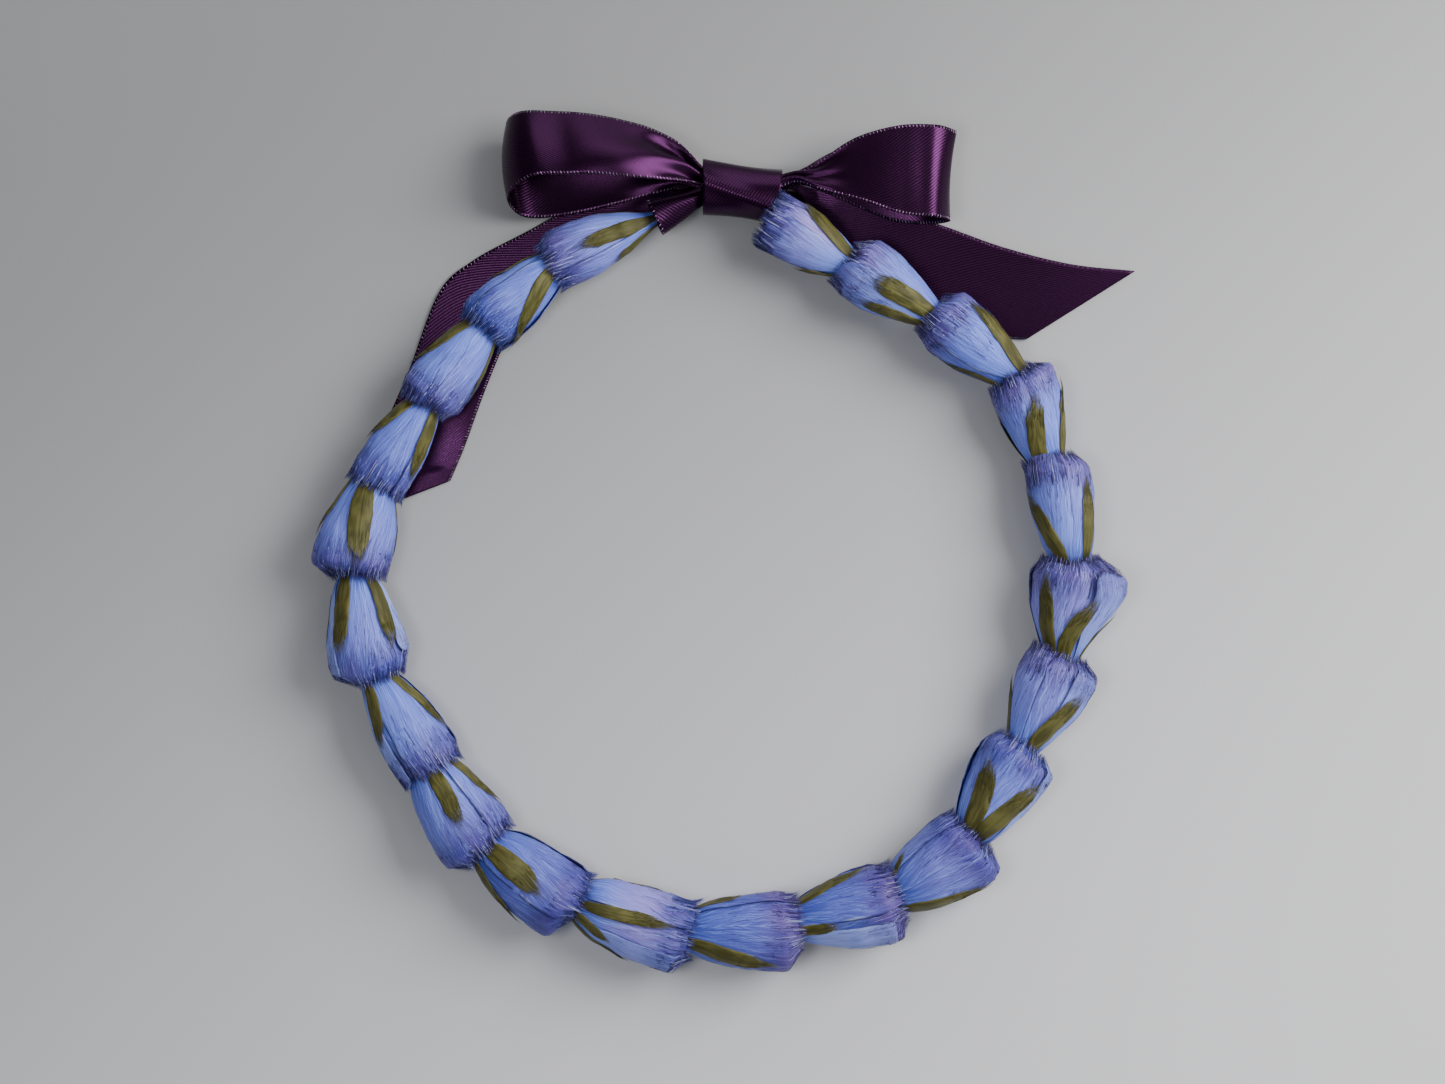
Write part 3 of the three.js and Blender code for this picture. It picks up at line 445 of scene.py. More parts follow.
def settle(blossom, points, hug, room):
    """Moves points clear of the next blossom, draws them in to it by hug, and keeps them off the floor."""
    if blossom.number < len(PLACES):
        after = PLACES[blossom.number]
        outward, distance = after.outward(points)
        radius = np.maximum(np.linalg.norm(outward, axis=-1), 1e-6)
        azimuth = np.degrees(np.arctan2(outward @ after.out, outward @ after.up))
        need = after.envelope(azimuth, np.clip(distance, 0, after.length)) + room
        drawn = np.maximum(radius + (need + 0.2 - radius) * hug, need)
        points = points + outward * (np.where(distance > -1, drawn, radius) / radius - 1)[..., None]
    low = blossom.floor_height()
    depth = low + FLOOR_EASE - points[..., 2]
    eased = low + FLOOR_EASE * np.exp(-np.maximum(depth, 0) / FLOOR_EASE)
    points[..., 2] = np.where(depth > 0, eased, points[..., 2])
    return points


# Helpers that model pieces the way a hand would, and shape them by formula.


def clear_selection():
    if bpy.context.object and bpy.context.object.mode != "OBJECT":
        bpy.ops.object.mode_set(mode="OBJECT")
    bpy.ops.object.select_all(action="DESELECT")


def coordinates(piece):
    flat = np.empty(len(piece.data.vertices) * 3)
    piece.data.vertices.foreach_get("co", flat)
    return flat.reshape(-1, 3)


def place_vertices(piece, points):
    piece.data.vertices.foreach_set("co", (points * MM).ravel())
    piece.data.update()


def write_uv(piece, u, v):
    """One UV for each vertex, the same on every face round it."""
    mesh = piece.data
    layer = mesh.uv_layers.get("UVMap") or mesh.uv_layers.new(name="UVMap")
    corner = np.empty(len(mesh.loops), int)
    mesh.loops.foreach_get("vertex_index", corner)
    layer.data.foreach_set("uv", np.stack([u[corner], v[corner]], axis=1).ravel())


def write_tint(piece, shade, lilac=0.0, loose=0.0, deep=0.0, mauve=0.0):
    """Numbers for each vertex, which the materials read: a colour attribute and a share of mauve."""
    mesh = piece.data
    layer = mesh.attributes.new("tint", "FLOAT_COLOR", "POINT")
    columns = [np.broadcast_to(v, (len(mesh.vertices),)) for v in (shade, lilac, loose, deep)]
    layer.data.foreach_set("color", np.stack(columns, axis=1).astype(float).ravel())
    share = mesh.attributes.new("mauve", "FLOAT", "POINT")
    share.data.foreach_set("value", np.full(len(mesh.vertices), float(mauve)))


def modifier(piece, kind, **settings):
    """Adds a modifier to a piece and applies it."""
    made = piece.modifiers.new(kind.title(), kind)
    for key, value in settings.items():
        setattr(made, key, value)
    bpy.context.view_layer.objects.active = piece
    bpy.ops.object.modifier_apply(modifier=made.name)


def primitive(add, name="part", **settings):
    """Adds a primitive with nothing else selected."""
    clear_selection()
    add(**settings)
    piece = bpy.context.object
    piece.name = name
    return piece


def repeated(piece, count):
    """Repeats a piece's mesh in place; returns each vertex's copy and its place in the first one."""
    one = coordinates(piece)
    modifier(piece, "ARRAY", count=count, use_relative_offset=False, use_constant_offset=True,
             constant_offset_displace=(0, 0, 0))
    return np.repeat(np.arange(count), len(one)), np.tile(one, (count, 1))


def grid_sheet(name, across, along):
    """A flat grid; returns the piece with u from -1 to 1 across and v from 0 to 1 along."""
    piece = primitive(
        bpy.ops.mesh.primitive_grid_add, name,
        x_subdivisions=across, y_subdivisions=along, size=2, calc_uvs=True,
    )
    at = coordinates(piece)
    return piece, at[:, 0], (at[:, 1] + 1) / 2


def barb_bundle(name, count):
    """Many three-sided barbs in one mesh; returns the piece, each vertex's barb, and its section."""
    piece = primitive(
        bpy.ops.mesh.primitive_cylinder_add, name, vertices=3, radius=1, depth=1, end_fill_type="NGON",
    )
    bpy.ops.object.mode_set(mode="EDIT")
    bpy.ops.mesh.select_all(action="DESELECT")
    bpy.ops.object.mode_set(mode="OBJECT")
    at = coordinates(piece)
    for edge in piece.data.edges:
        a, b = edge.vertices
        edge.select = abs(at[a, 2] - at[b, 2]) > 0.5
    bpy.ops.object.mode_set(mode="EDIT")
    bpy.context.tool_settings.mesh_select_mode = (False, True, False)
    bpy.ops.mesh.subdivide(number_cuts=1)
    bpy.ops.object.mode_set(mode="OBJECT")
    barb, section = repeated(piece, count)
    section[:, 2] += 0.5
    return piece, barb, section


def shape_barbs(piece, blossom, centre, width, section):
    """Lays barbs along the lines that centre draws from the share along them, and tapers them."""
    share = section[:, 2]
    here = centre(share)
    outward, _ = blossom.outward(here)
    tangent = unit(centre(share + BARB_STEP) - centre(share - BARB_STEP))
    side = unit(outward - (outward * tangent).sum(1)[:, None] * tangent)
    thin = width * (1 - BARB_TAPER * share**1.6)
    outer = side * (section[:, 0] * thin * BARB_FLATNESS)[:, None]
    across = np.cross(tangent, side) * (section[:, 1] * thin)[:, None]
    place_vertices(piece, here + outer + across)


def thicken(piece, times=1.0):
    """Gives a vane its thickness."""
    modifier(piece, "SOLIDIFY", thickness=sizes().vane_thickness * times, offset=0)


def join(pieces, name):
    clear_selection()
    for piece in pieces:
        piece.select_set(True)
    bpy.context.view_layer.objects.active = pieces[0]
    bpy.ops.object.join()
    joined = bpy.context.object
    joined.name = name
    joined.data.name = name
    return joined


def finish_piece(piece, material, slot, *nodes):
    piece.data.materials.clear()
    piece.data.materials.append(material)
    clear_selection()
    piece.select_set(True)
    bpy.context.view_layer.objects.active = piece
    bpy.ops.object.shade_smooth()
    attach(piece, "root")
    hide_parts(*nodes)
    return piece


# Blue blossoms.


def rim_distance(blossom, petal, u):
    """Where a petal's rim ends at u from -1 to 1 across it, ragged as torn barbs are."""
    azimuth = np.radians(blossom.middle(petal) + PETAL_HALF_ANGLE * u)
    slant = 0.0
    if blossom.number < len(PLACES):
        after = PLACES[blossom.number].along
        slant = math.tan(-math.asin(float(after @ blossom.out)) / 2)
    mitre = slant * blossom.half * np.sin(azimuth)
    rounded = ROUNDED * np.abs(u) ** 3 * blossom.length
    ragged = RAGGED * noise(u * 9, blossom.number * 10 + petal)
    ragged = ragged + FRAYED * noise(u * 41, blossom.number * 7 + petal)
    uneven = UNEVEN * math.sin(blossom.number * 2.4 + petal * 2.1)
    over_knot = OVER_KNOT if blossom.number == len(PLACES) else 0.0
    return blossom.length + mitre - rounded + ragged + uneven - SHORTER + over_knot


def petal_angle(blossom, distance):
    """Half the angle that a petal spans."""
    return blossom.spread(distance) * (1 - 0.1 * ramp(distance / blossom.length, 0.72, 1))


def petal_relief(blossom, petal, u, distance):
    """How far a petal stands off the blossom's profile, u from -1 to 1 across it."""
    seed = blossom.number * 13 + petal
    flutes = FLUTES * noise(u * 7 + 0.4 * np.sin(distance * 0.2), seed) * ramp(distance, 6, 16)
    swell = SWELLS * noise(distance * 0.22 + u, seed + 5) * ramp(distance, 8, 18)
    curl = CURL * ramp(np.abs(u), 0.8, 1) * ramp(distance / blossom.length, 0.35, 0.8)
    return blossom.spiral(distance, u) + flutes + swell + curl


def over_petals(blossom, azimuth, half_angle, distance):
    """How far the petals stand off the profile anywhere within a half angle of an azimuth."""
    most = np.full(np.shape(distance), -PETAL_SPIRAL / 2)
    for petal in range(PETAL_COUNT):
        for k in ACROSS:
            off = angle_off(azimuth + half_angle * k, blossom.middle(petal))
            u = off / petal_angle(blossom, distance)
            here = petal_relief(blossom, petal, np.clip(u, -1, 1), distance)
            most = np.where(np.abs(u) < 1.05, np.maximum(most, here), most)
    return most


def outer_angle(blossom, feather, distance):
    """Half the angle that an outer feather spans."""
    opened = 0.55 + 0.45 * ramp(distance, 4, blossom.hidden + 7)
    return feather[2] * opened * (1 - 0.2 * ramp(distance / blossom.length, 0.8, 1))


def outer_end(blossom, feather, u):
    """Where an outer feather ends, u from -1 to 1 across it."""
    _, azimuth, _, share, _, _, shorter = feather
    cut = shorter * ramp(u * np.sign(azimuth), -0.3, 0.5) + 0.08 * np.abs(u) ** 4
    return blossom.shown(share - cut)


def outer_height(blossom, feather, u, distance):
    """How far an outer feather stands off the blossom's profile."""
    v = distance / blossom.length
    off = feather[4] * ramp(v, 0.4, 0.78) * (1 - 0.35 * ramp(v, 0.82, 0.95)) * (1 - 0.5 * np.abs(u) ** 3)
    return over_petals(blossom, feather[1], outer_angle(blossom, feather, distance), distance) + 0.15 + off


def over_outer(blossom, azimuth, distance):
    """How far the outer feathers stand off the profile at an azimuth, and -1 where there are none."""
    most = np.full(np.shape(distance), -1.0)
    for feather in OUTER_FEATHERS:
        if feather[0] == blossom.number:
            u = angle_off(azimuth, feather[1]) / outer_angle(blossom, feather, distance)
            ended = outer_end(blossom, feather, np.clip(u, -1, 1)) + 0.3
            on = (np.abs(u) < 1.04) & (distance < ended)
            height = outer_height(blossom, feather, np.clip(u[on], -1, 1), distance[on]) + 0.08
            most[on] = np.maximum(most[on], height)
    return most


def petal_point(blossom, petal, u, distance, end, lift, hug=0.8, over=-1.0):
    """A point on a petal: u across it, then distance from the base, and lift above its surface.
    Hug draws the rim in to the next blossom, and over is the height of what lies on the petal."""
    v = (distance - TUBE_LENGTH) / (end - TUBE_LENGTH)
    azimuth = blossom.middle(petal) + petal_angle(blossom, distance) * u
    relief = np.maximum(petal_relief(blossom, petal, u, distance), over)
    points = blossom.point(azimuth, distance, blossom.radius(distance) + relief + lift)
    drawn = hug * ramp(v, 0.85, 1.0)
    room = 0.15 + 0.45 * (u + 1) / 2 + np.maximum(lift, 0) + 0.4 * (np.asarray(over) > -1)
    return settle(blossom, points, drawn, room)


def petal_vane(blossom, petal):
    piece, u, v = grid_sheet("vane", *detail((26, 28), (16, 18)))
    end = rim_distance(blossom, petal, u)
    distance = TUBE_LENGTH - 1 + (end - TUBE_LENGTH - 0.6) * v
    place_vertices(piece, petal_point(blossom, petal, u, distance, end, 0.0))
    thicken(piece)
    draw = np.random.default_rng(SEED + blossom.number * 3 + petal).uniform(0, 1)
    write_tint(piece, 0.0, blossom.lilac, 0.0, blossom.deep * 0.8 + 0.2 * draw, blossom.mauve)
    return piece


def outer_feather(blossom, feather):
    """A feather laid over a blossom's side, which may stand off a little."""
    piece, u, v = grid_sheet("outer", *detail((16, 24), (8, 12)))
    distance = TUBE_LENGTH + (outer_end(blossom, feather, u) - TUBE_LENGTH) * v
    height = outer_height(blossom, feather, u, distance) + 0.06 * noise(u * 3 + v, blossom.number)
    azimuth = feather[1] + outer_angle(blossom, feather, distance) * u
    points = blossom.point(azimuth, distance, blossom.radius(distance) + height)
    drawn = 0.8 * ramp(distance / blossom.length, 0.86, 1.0)
    place_vertices(piece, settle(blossom, points, drawn, 0.4))
    thicken(piece)
    write_tint(piece, feather[5], blossom.lilac * 0.4, 0.0, blossom.deep * 0.4, blossom.mauve * 0.7)
    return piece


def blossom_barbs(blossom):
    """The loose barbs that cover the rim and lie down over the next blossom's base."""
    count = detail(sizes().barbs, 160)
    piece, barb, section = barb_bundle("barbs", count)
    draw = np.random.default_rng(SEED * 100 + blossom.number)
    petal = draw.integers(0, PETAL_COUNT, count)
    lock = draw.integers(0, LOCKS, count)
    key = petal * LOCKS + lock
    total = LOCKS * PETAL_COUNT
    lock_u = draw.uniform(-0.4, 0.4, total)[key]
    lock_shade = draw.uniform(0, 1, total)[key]
    lock_end = draw.normal(0, 0.005, total)[key]
    lock_rise = draw.uniform(0, 0.1, total)[key]
    lean = draw.normal(0, 0.012, total)[key]
    centre_u = (lock + 0.5 + lock_u) / LOCKS * 2 - 1
    u = np.clip(centre_u + draw.uniform(-1.3, 1.3, count) / LOCKS, -1, 1)
    kind = draw.uniform(0, 1, count)
    fibre = kind < FIBRES
    under = kind > 1 - FLAT_BARBS
    root = np.where(fibre, draw.uniform(0.4, 0.72, count), 0.95 - 0.22 * draw.uniform(0, 1, count) ** 1.3)
    reach = draw.uniform(0.08, 0.2, count)
    tip = np.where(fibre, root + reach, 1.0 + lock_end + draw.normal(0, 0.007, count))
    hug = np.where(under, 1.0, 0.82 + 0.14 * draw.uniform(0, 1, count))
    gather = np.where(fibre, 0.0, 0.28)
    rise = np.where(fibre, 0.02, np.where(under, 0.02, 0.05 + lock_rise + 0.07 * draw.uniform(0, 1, count)))
    wave = draw.uniform(0, 6.28, count)
    width = draw.uniform(0.6, 1.25, count) * np.where(fibre, 0.6, 0.9) * sizes().barb_width / MM
    # Barbs' shades lean dark, towards indigo and night blue: partly dye and partly painted shadow between
    # the barbs.
    shade = np.clip(-0.02 + 0.42 * lock_shade + draw.normal(0.06, 0.2, count), 0, 1)
    shade = np.where(draw.uniform(0, 1, count) < PALE_BARBS, 0.97, shade)
    ends = np.empty(count)
    for p in range(PETAL_COUNT):
        ends[petal == p] = rim_distance(blossom, p, u[petal == p])
    flyaway = draw.uniform(0, 1, count) < FLYAWAYS

    def along(share):
        return root[barb] + (tip[barb] - root[barb]) * share

    def centre(share):
        distance = TUBE_LENGTH + (ends[barb] - TUBE_LENGTH) * along(share)
        bent = np.clip(share, 0, 1.1) ** 1.5
        drift = lean[barb] * (1 + 4 * flyaway[barb]) + (centre_u - u)[barb] * gather[barb]
        fan = 0.09 * u[barb] * fibre[barb]
        uu = np.clip(u[barb] + (drift + fan) * bent + 0.005 * np.sin(share * 5 + wave[barb]), -1.02, 1.02)
        lift = 0.07 + rise[barb] * np.sin(np.clip(share, 0, 1) * 2.3) * (1 + 3 * flyaway[barb] * share)
        azimuth = blossom.middle(petal[barb]) + petal_angle(blossom, distance) * uu
        over = over_outer(blossom, azimuth, distance)
        points = np.empty((len(barb), 3))
        for p in range(PETAL_COUNT):
            of = petal[barb] == p
            points[of] = petal_point(
                blossom, p, uu[of], distance[of], ends[barb][of], lift[of], hug[barb][of], over[of],
            )
        return points

    shape_barbs(piece, blossom, centre, width[barb], section)
    write_uv(piece, (u[barb] + 1) / 2, along(section[:, 2]))
    write_tint(piece, shade[barb], blossom.lilac, 1.0, blossom.deep, blossom.mauve)
    return piece


# Green feathers.


def green_point(blossom, green, u, v, lift):
    """A point on a green feather, u from -1 to 1 across it and v from 0 to 1 along it."""
    start, _, share, widest = green
    distance = SEPAL_RING_LENGTH + (blossom.shown(share) - SEPAL_RING_LENGTH) * v
    azimuth, _ = blossom.green_at(green, distance)
    seed = blossom.number * 31 + int(start)
    shape = curve_value(v, [(0, 0.35), (0.2, 0.7), (0.38, 0.95), (0.6, 1), (0.84, 0.86), (1, 0.42)])
    width = widest * shape * (1 + 0.05 * noise(v * 6, seed))
    bend = 0.35 * noise(v * 2.5, seed + 1) + 0.5 * math.sin(seed) * np.sin(v * math.pi)
    sway = bend * ramp(v, 0.1, 0.5)
    ground = blossom.radius(distance)
    angle = np.degrees((width / 2 * u + sway) / (ground + 1))
    half_angle = np.degrees(width / 2 / (ground + 1))
    middle = azimuth + np.degrees(sway / (ground + 1))
    reach = over_petals(blossom, middle, half_angle, distance)
    for k in ACROSS:
        reach = np.maximum(reach, over_outer(blossom, middle + half_angle * k, distance))
    crown = 0.12 * (1 - u**2)
    off = 0.4 * ramp(v, 0.7, 1.1) * (0.5 + 0.5 * math.sin(seed * 1.3) + 0.3 * noise(v + u, seed + 2))
    points = blossom.point(azimuth + angle, distance, ground + reach + 0.16 + crown + lift + off)
    return settle(blossom, points, np.zeros(len(points)), 0.5 + np.maximum(lift, 0))


def green_feather(blossom, green):
    piece, u, v = grid_sheet("green", *detail((8, 26), (4, 10)))
    seed = blossom.number * 17 + int(green[0])
    ragged = 0.9 - 0.12 * np.abs(u) ** 2 + 0.03 * noise(u * 13, seed)
    place_vertices(piece, green_point(blossom, green, u, v * ragged, 0.0))
    thicken(piece, 1.3)
    write_tint(piece, np.random.default_rng(abs(seed) + 500).uniform(0, 1))
    count = detail(90, 10)
    loose, barb, section = barb_bundle("green_barbs", count)
    draw = np.random.default_rng(SEED * 50 + abs(seed))
    side = draw.uniform(-0.95, 0.95, count)
    root = draw.uniform(0.62, 0.86, count) - 0.1 * side**2
    tip = root + draw.uniform(0.1, 0.26, count)
    drift = draw.normal(0, 0.06, count)
    rise = np.abs(draw.normal(0, 0.1, count))
    width = draw.uniform(0.6, 1.1, count) * sizes().barb_width / MM

    def along(share):
        return root[barb] + (tip[barb] - root[barb]) * share

    def centre(share):
        off = side[barb] + drift[barb] * share
        return green_point(blossom, green, off, along(share), 0.06 + rise[barb] * share)

    shape_barbs(loose, blossom, centre, width[barb], section)
    write_uv(loose, (side[barb] + 1) / 2, along(section[:, 2]))
    write_tint(loose, draw.uniform(0, 1, count)[barb], 0.0, 1.0)
    return [piece, loose]


def binding_thread(blossom):
    """The thread wound round the feathers' roots."""
    ring = primitive(
        bpy.ops.mesh.primitive_torus_add,
        major_segments=20, minor_segments=6, major_radius=1, minor_radius=0.25,
    )
    turn, at = repeated(ring, THREAD_TURNS)
    azimuth = np.degrees(np.arctan2(at[:, 1], at[:, 0]))
    distance = 0.35 + THREAD_PITCH * turn + at[:, 2] * THREAD_SIZE
    radius = THREAD_RADIUS + (np.hypot(at[:, 0], at[:, 1]) - 1) * THREAD_SIZE
    place_vertices(ring, blossom.point(azimuth, distance, radius))
    write_tint(ring, 0.3)
    return ring


# Ribbon.


def spline(points, t):
    """A smooth run through points, for t from 0 to 1 by their number."""
    p = np.concatenate([[2 * points[0] - points[1]], points, [2 * points[-1] - points[-2]]])
    s = np.clip(t, 0, 1) * (len(points) - 1)
    k = np.clip(s.astype(int), 0, len(points) - 2)
    f = (s - k)[..., None]
    a, b, c, d = p[k], p[k + 1], p[k + 2], p[k + 3]
    return 0.5 * (2 * b + (c - a) * f + (2 * a - 5 * b + 4 * c - d) * f**2 + (3 * b - a - 3 * c + d) * f**3)


def ribbon_shape(name, edges, arch, pleats):
    """A function of w across a length of ribbon and v along it, both from 0 to 1, and its length."""
    edges = np.array(edges, float)

    def sides(t):
        return spline(edges[:, :3], t), spline(edges[:, 3:], t)

    def middle(t):
        far, near = sides(t)
        return (far + near) / 2

    steps = np.linspace(0, 1, 400)
    run = np.concatenate([[0], np.cumsum(np.linalg.norm(np.diff(middle(steps), axis=0), axis=1))])

    def on(w, v):
        t = np.interp(np.clip(v, 0, 1) * run[-1], run, steps)
        far, near = sides(t)
        normal = unit(np.cross(middle(t + 0.004) - middle(t - 0.004), near - far))
        wide = np.linalg.norm(near - far, axis=-1)
        missing = np.sqrt(np.maximum((sizes().ribbon_width / MM) ** 2 - wide**2, 0))
        ends = np.maximum(ramp(v, 0.24, 0), ramp(v, 0.76, 1))
        fold = missing / (4 * max(pleats, 1)) * ends * 0.55 * np.sin(2 * math.pi * pleats * w + 0.6)
        bow = arch * (1 - (2 * w - 1) ** 2) * (1 - ends)
        for along, across, size, width, height in HUMPS[name]:
            bow = bow + height * np.exp(-(((v - along) / size) ** 2) - ((w - across) / width) ** 2)
        return far + (near - far) * w[..., None] + normal * (fold + bow)[..., None]

    return on, run[-1]


def flat_on_floor(points, low):
    points[:, 2] = np.maximum(points[:, 2], low)
    return points


def stitches(run):
    """How many stitches a length of ribbon has along an edge."""
    return int(run * MM / sizes().stitch_pitch)


def stitch_row(on, width, run, side, count, inward, seed, ahead, behind=0.0, palest=0.0):
    """Stitches along one edge of a length of ribbon, side 0 or 1; palest is their least share of plum."""
    piece = primitive(bpy.ops.mesh.primitive_uv_sphere_add, segments=6, ring_count=4, radius=1)
    index, at = repeated(piece, count)
    v = (index + 0.5) / count
    w = np.full(len(v), float(side))
    edge = on(w, v)
    across = unit(on(w + (inward if side == 0 else -inward), v) - edge)
    forward = unit(on(w, np.minimum(v + ahead, 1.0)) - on(w, np.maximum(v - behind, 0.0)))
    proud = sizes().ribbon_thickness / MM / 2 + STITCH_PROUD
    points = (
        edge
        + across * (STITCH_INSET + at[:, 2] * STITCH_HALF)[:, None]
        + forward * (at[:, 0] * STITCH_ROUND + at[:, 2] * STITCH_SLANT)[:, None]
        + unit(np.cross(across, forward)) * (at[:, 1] * proud)[:, None]
    )
    place_vertices(piece, flat_on_floor(points, STITCH_FLOOR))
    write_uv(piece, w * width, v * run)
    shade = np.random.default_rng(seed).uniform(0, 1, count)[index]
    write_tint(piece, palest + (1 - palest) * shade, 0.0, 1.0)
    return piece


def satin_sheet(name, on, cells, width, run, rows=()):
    """A length of ribbon from a function of w across it and v along it, with its rows of stitches."""
    thick = sizes().ribbon_thickness
    piece, u, v = grid_sheet(name, *cells)
    w = (u + 1) / 2
    place_vertices(piece, flat_on_floor(on(w, v), thick / MM / 2 + RIBBON_FLOOR))
    write_uv(piece, w * width, v * run)
    modifier(piece, "SOLIDIFY", thickness=thick, offset=0)
    write_tint(piece, 0.5)
    return join([piece, *(stitch_row(on, width, run, **row) for row in rows)], name)


def ribbon_length(name, edges, arch, pleats, cells):
    """A loop or tail of the bow with stitches along both edges, and its length."""
    on, run = ribbon_shape(name, edges, arch, pleats)
    row = {
        "count": stitches(run) // detail(1, 4), "inward": 0.034, "seed": SEED + int(run),
        "ahead": 0.4 / run, "palest": 0.75 if name == "tail_right" else 0.0,
    }
    rows = [{"side": 0, **row}, {"side": 1, **row}]
    grid = (24, cells // detail(1, 3))
    return satin_sheet("ribbon_" + name, on, grid, sizes().ribbon_width / MM, run, rows), run


def knot_wrap(w, v):
    """A point on the knot's wrap, w from 0 to 1 across the ribbon and v from 0 to 1 along it."""
    angle = KNOT_START + KNOT_TURN * v
    crease = np.sin(3 * angle + 4 * w) + 0.5 * np.sin(7 * angle - 3 * w)
    ridge = np.exp(-(((np.mod(angle, 2 * math.pi) - 1.4 - 0.8 * w) / 0.3) ** 2))
    waist = 1 - KNOT_WAIST * np.sin(math.pi * w) + KNOT_CREASE * crease + KNOT_RIDGE * ridge
    grow = KNOT_SPREAD * (v - 0.5) - 0.3
    y = np.cos(angle) * (KNOT_HALF[0] * waist + grow)
    z = np.sin(angle) * (KNOT_HALF[1] * waist + grow)
    left, right = np.array(KNOT_LEFT), np.array(KNOT_RIGHT)
    points = left + (right - left) * w[..., None] + np.stack([np.zeros_like(y), y, z], axis=-1)
    # The knot's right end is drawn back in front of the last blossom's rim.
    last = PLACES[-1]
    rim = last.start + last.along * (last.length + 1.2)
    points[:, 0] -= np.maximum((rim - points) @ last.along, 0) * 0.95
    return points


def band_wrap(w, v):
    """A point on the band that gathers from the first blossom's base up into the knot."""
    first = PLACES[0]
    wide, narrow = first.start + first.along * (first.hidden - 1.4), np.array(BAND_TOP)
    axis = unit(narrow - wide)
    side = unit(np.cross(axis, (0, 0, 1)))
    angle = BAND_START + BAND_TURN * v
    radius = BAND_WIDE + (BAND_NARROW - BAND_WIDE) * w + BAND_SPREAD * (v - 0.5)
    radius = radius + BAND_RIPPLE * np.sin(angle * 3 + w * 4)
    around = np.cos(angle)[..., None] * side + np.sin(angle)[..., None] * np.cross(side, axis)
    return wide + (narrow - wide) * w[..., None] + around * radius[..., None]


# Materials.


def known(kept, name, make):
    """What the file already holds under a name, or else what make makes."""
    return kept.get(name) or make()


def new_group(name, outputs, **inputs):
    """A node group that reads a UV map and named numbers, with its graph and the two ends of it."""
    group = bpy.data.node_groups.new(name, "ShaderNodeTree")
    group.interface.new_socket("UV", in_out="INPUT", socket_type="NodeSocketVector")
    for label, value in inputs.items():
        socket = group.interface.new_socket(label, in_out="INPUT", socket_type="NodeSocketFloat")
        socket.default_value = value
    for label in outputs:
        group.interface.new_socket(label, in_out="OUTPUT", socket_type="NodeSocketFloat")
    g = Graph(group)
    return group, g, g.add("NodeGroupInput").outputs, g.add("NodeGroupOutput").inputs


class Graph:
    """Short words for adding and linking shader nodes."""

    def __init__(self, tree):
        self.tree = tree

    def add(self, kind, **settings):
        node = self.tree.nodes.new(kind)
        for key, value in settings.items():
            setattr(node, key, value)
        return node

    def put(self, value, socket):
        if isinstance(value, bpy.types.NodeSocket):
            self.tree.links.new(value, socket)
        elif value is not None:
            socket.default_value = value

    def math(self, operation, a, b=None, c=None, clamp=False):
        node = self.add("ShaderNodeMath", operation=operation, use_clamp=clamp)
        for value, socket in zip((a, b, c), node.inputs):
            self.put(value, socket)
        return node.outputs[0]

    def smooth(self, value, low, high):
        node = self.add("ShaderNodeMapRange", interpolation_type="SMOOTHSTEP")
        self.put(value, node.inputs["Value"])
        self.put(low, node.inputs["From Min"])
        self.put(high, node.inputs["From Max"])
        return node.outputs["Result"]

    def times(self, a, b):
        return self.math("MULTIPLY", a, b)

    def scaled(self, value, by, plus, clamp=False):
        return self.math("MULTIPLY_ADD", value, by, plus, clamp)

    def less(self, a, b):
        return self.math("SUBTRACT", a, b)

    def mix(self, share, a, b):
        node = self.add("ShaderNodeMix", data_type="RGBA")
        self.put(share, node.inputs["Factor"])
        for value, socket in ((a, node.inputs["A"]), (b, node.inputs["B"])):
            self.put(rgba(value) if not isinstance(value, bpy.types.NodeSocket) else value, socket)
        return node.outputs["Result"]

    def ramp(self, value, stops):
        node = self.add("ShaderNodeValToRGB")
        node.color_ramp.interpolation = "EASE"
        for k, (at, colour) in enumerate(stops):
            stop = node.color_ramp.elements[k] if k < 2 else node.color_ramp.elements.new(at)
            stop.position, stop.color = at, rgba(colour)
        self.put(value, node.inputs[0])
        return node.outputs["Color"]

    def vector(self, x, y, z):
        node = self.add("ShaderNodeCombineXYZ")
        for value, socket in zip((x, y, z), node.inputs):
            self.put(value, socket)
        return node.outputs[0]

    def noise(self, vector, scale, detail=2.0, rough=0.5):
        node = self.add("ShaderNodeTexNoise")
        self.put(vector, node.inputs["Vector"])
        for label, value in (("Scale", scale), ("Detail", detail), ("Roughness", rough)):
            node.inputs[label].default_value = value
        return node.outputs["Fac"]

    def split(self, vector):
        node = self.add("ShaderNodeSeparateXYZ")
        self.put(vector, node.inputs[0])
        return node.outputs

    def place(self, group, **values):
        node = self.add("ShaderNodeGroup", node_tree=group)
        for label, value in values.items():
            self.put(value, node.inputs[label])
        return node.outputs


def rgba(value):
    return (*value[:3], 1.0)


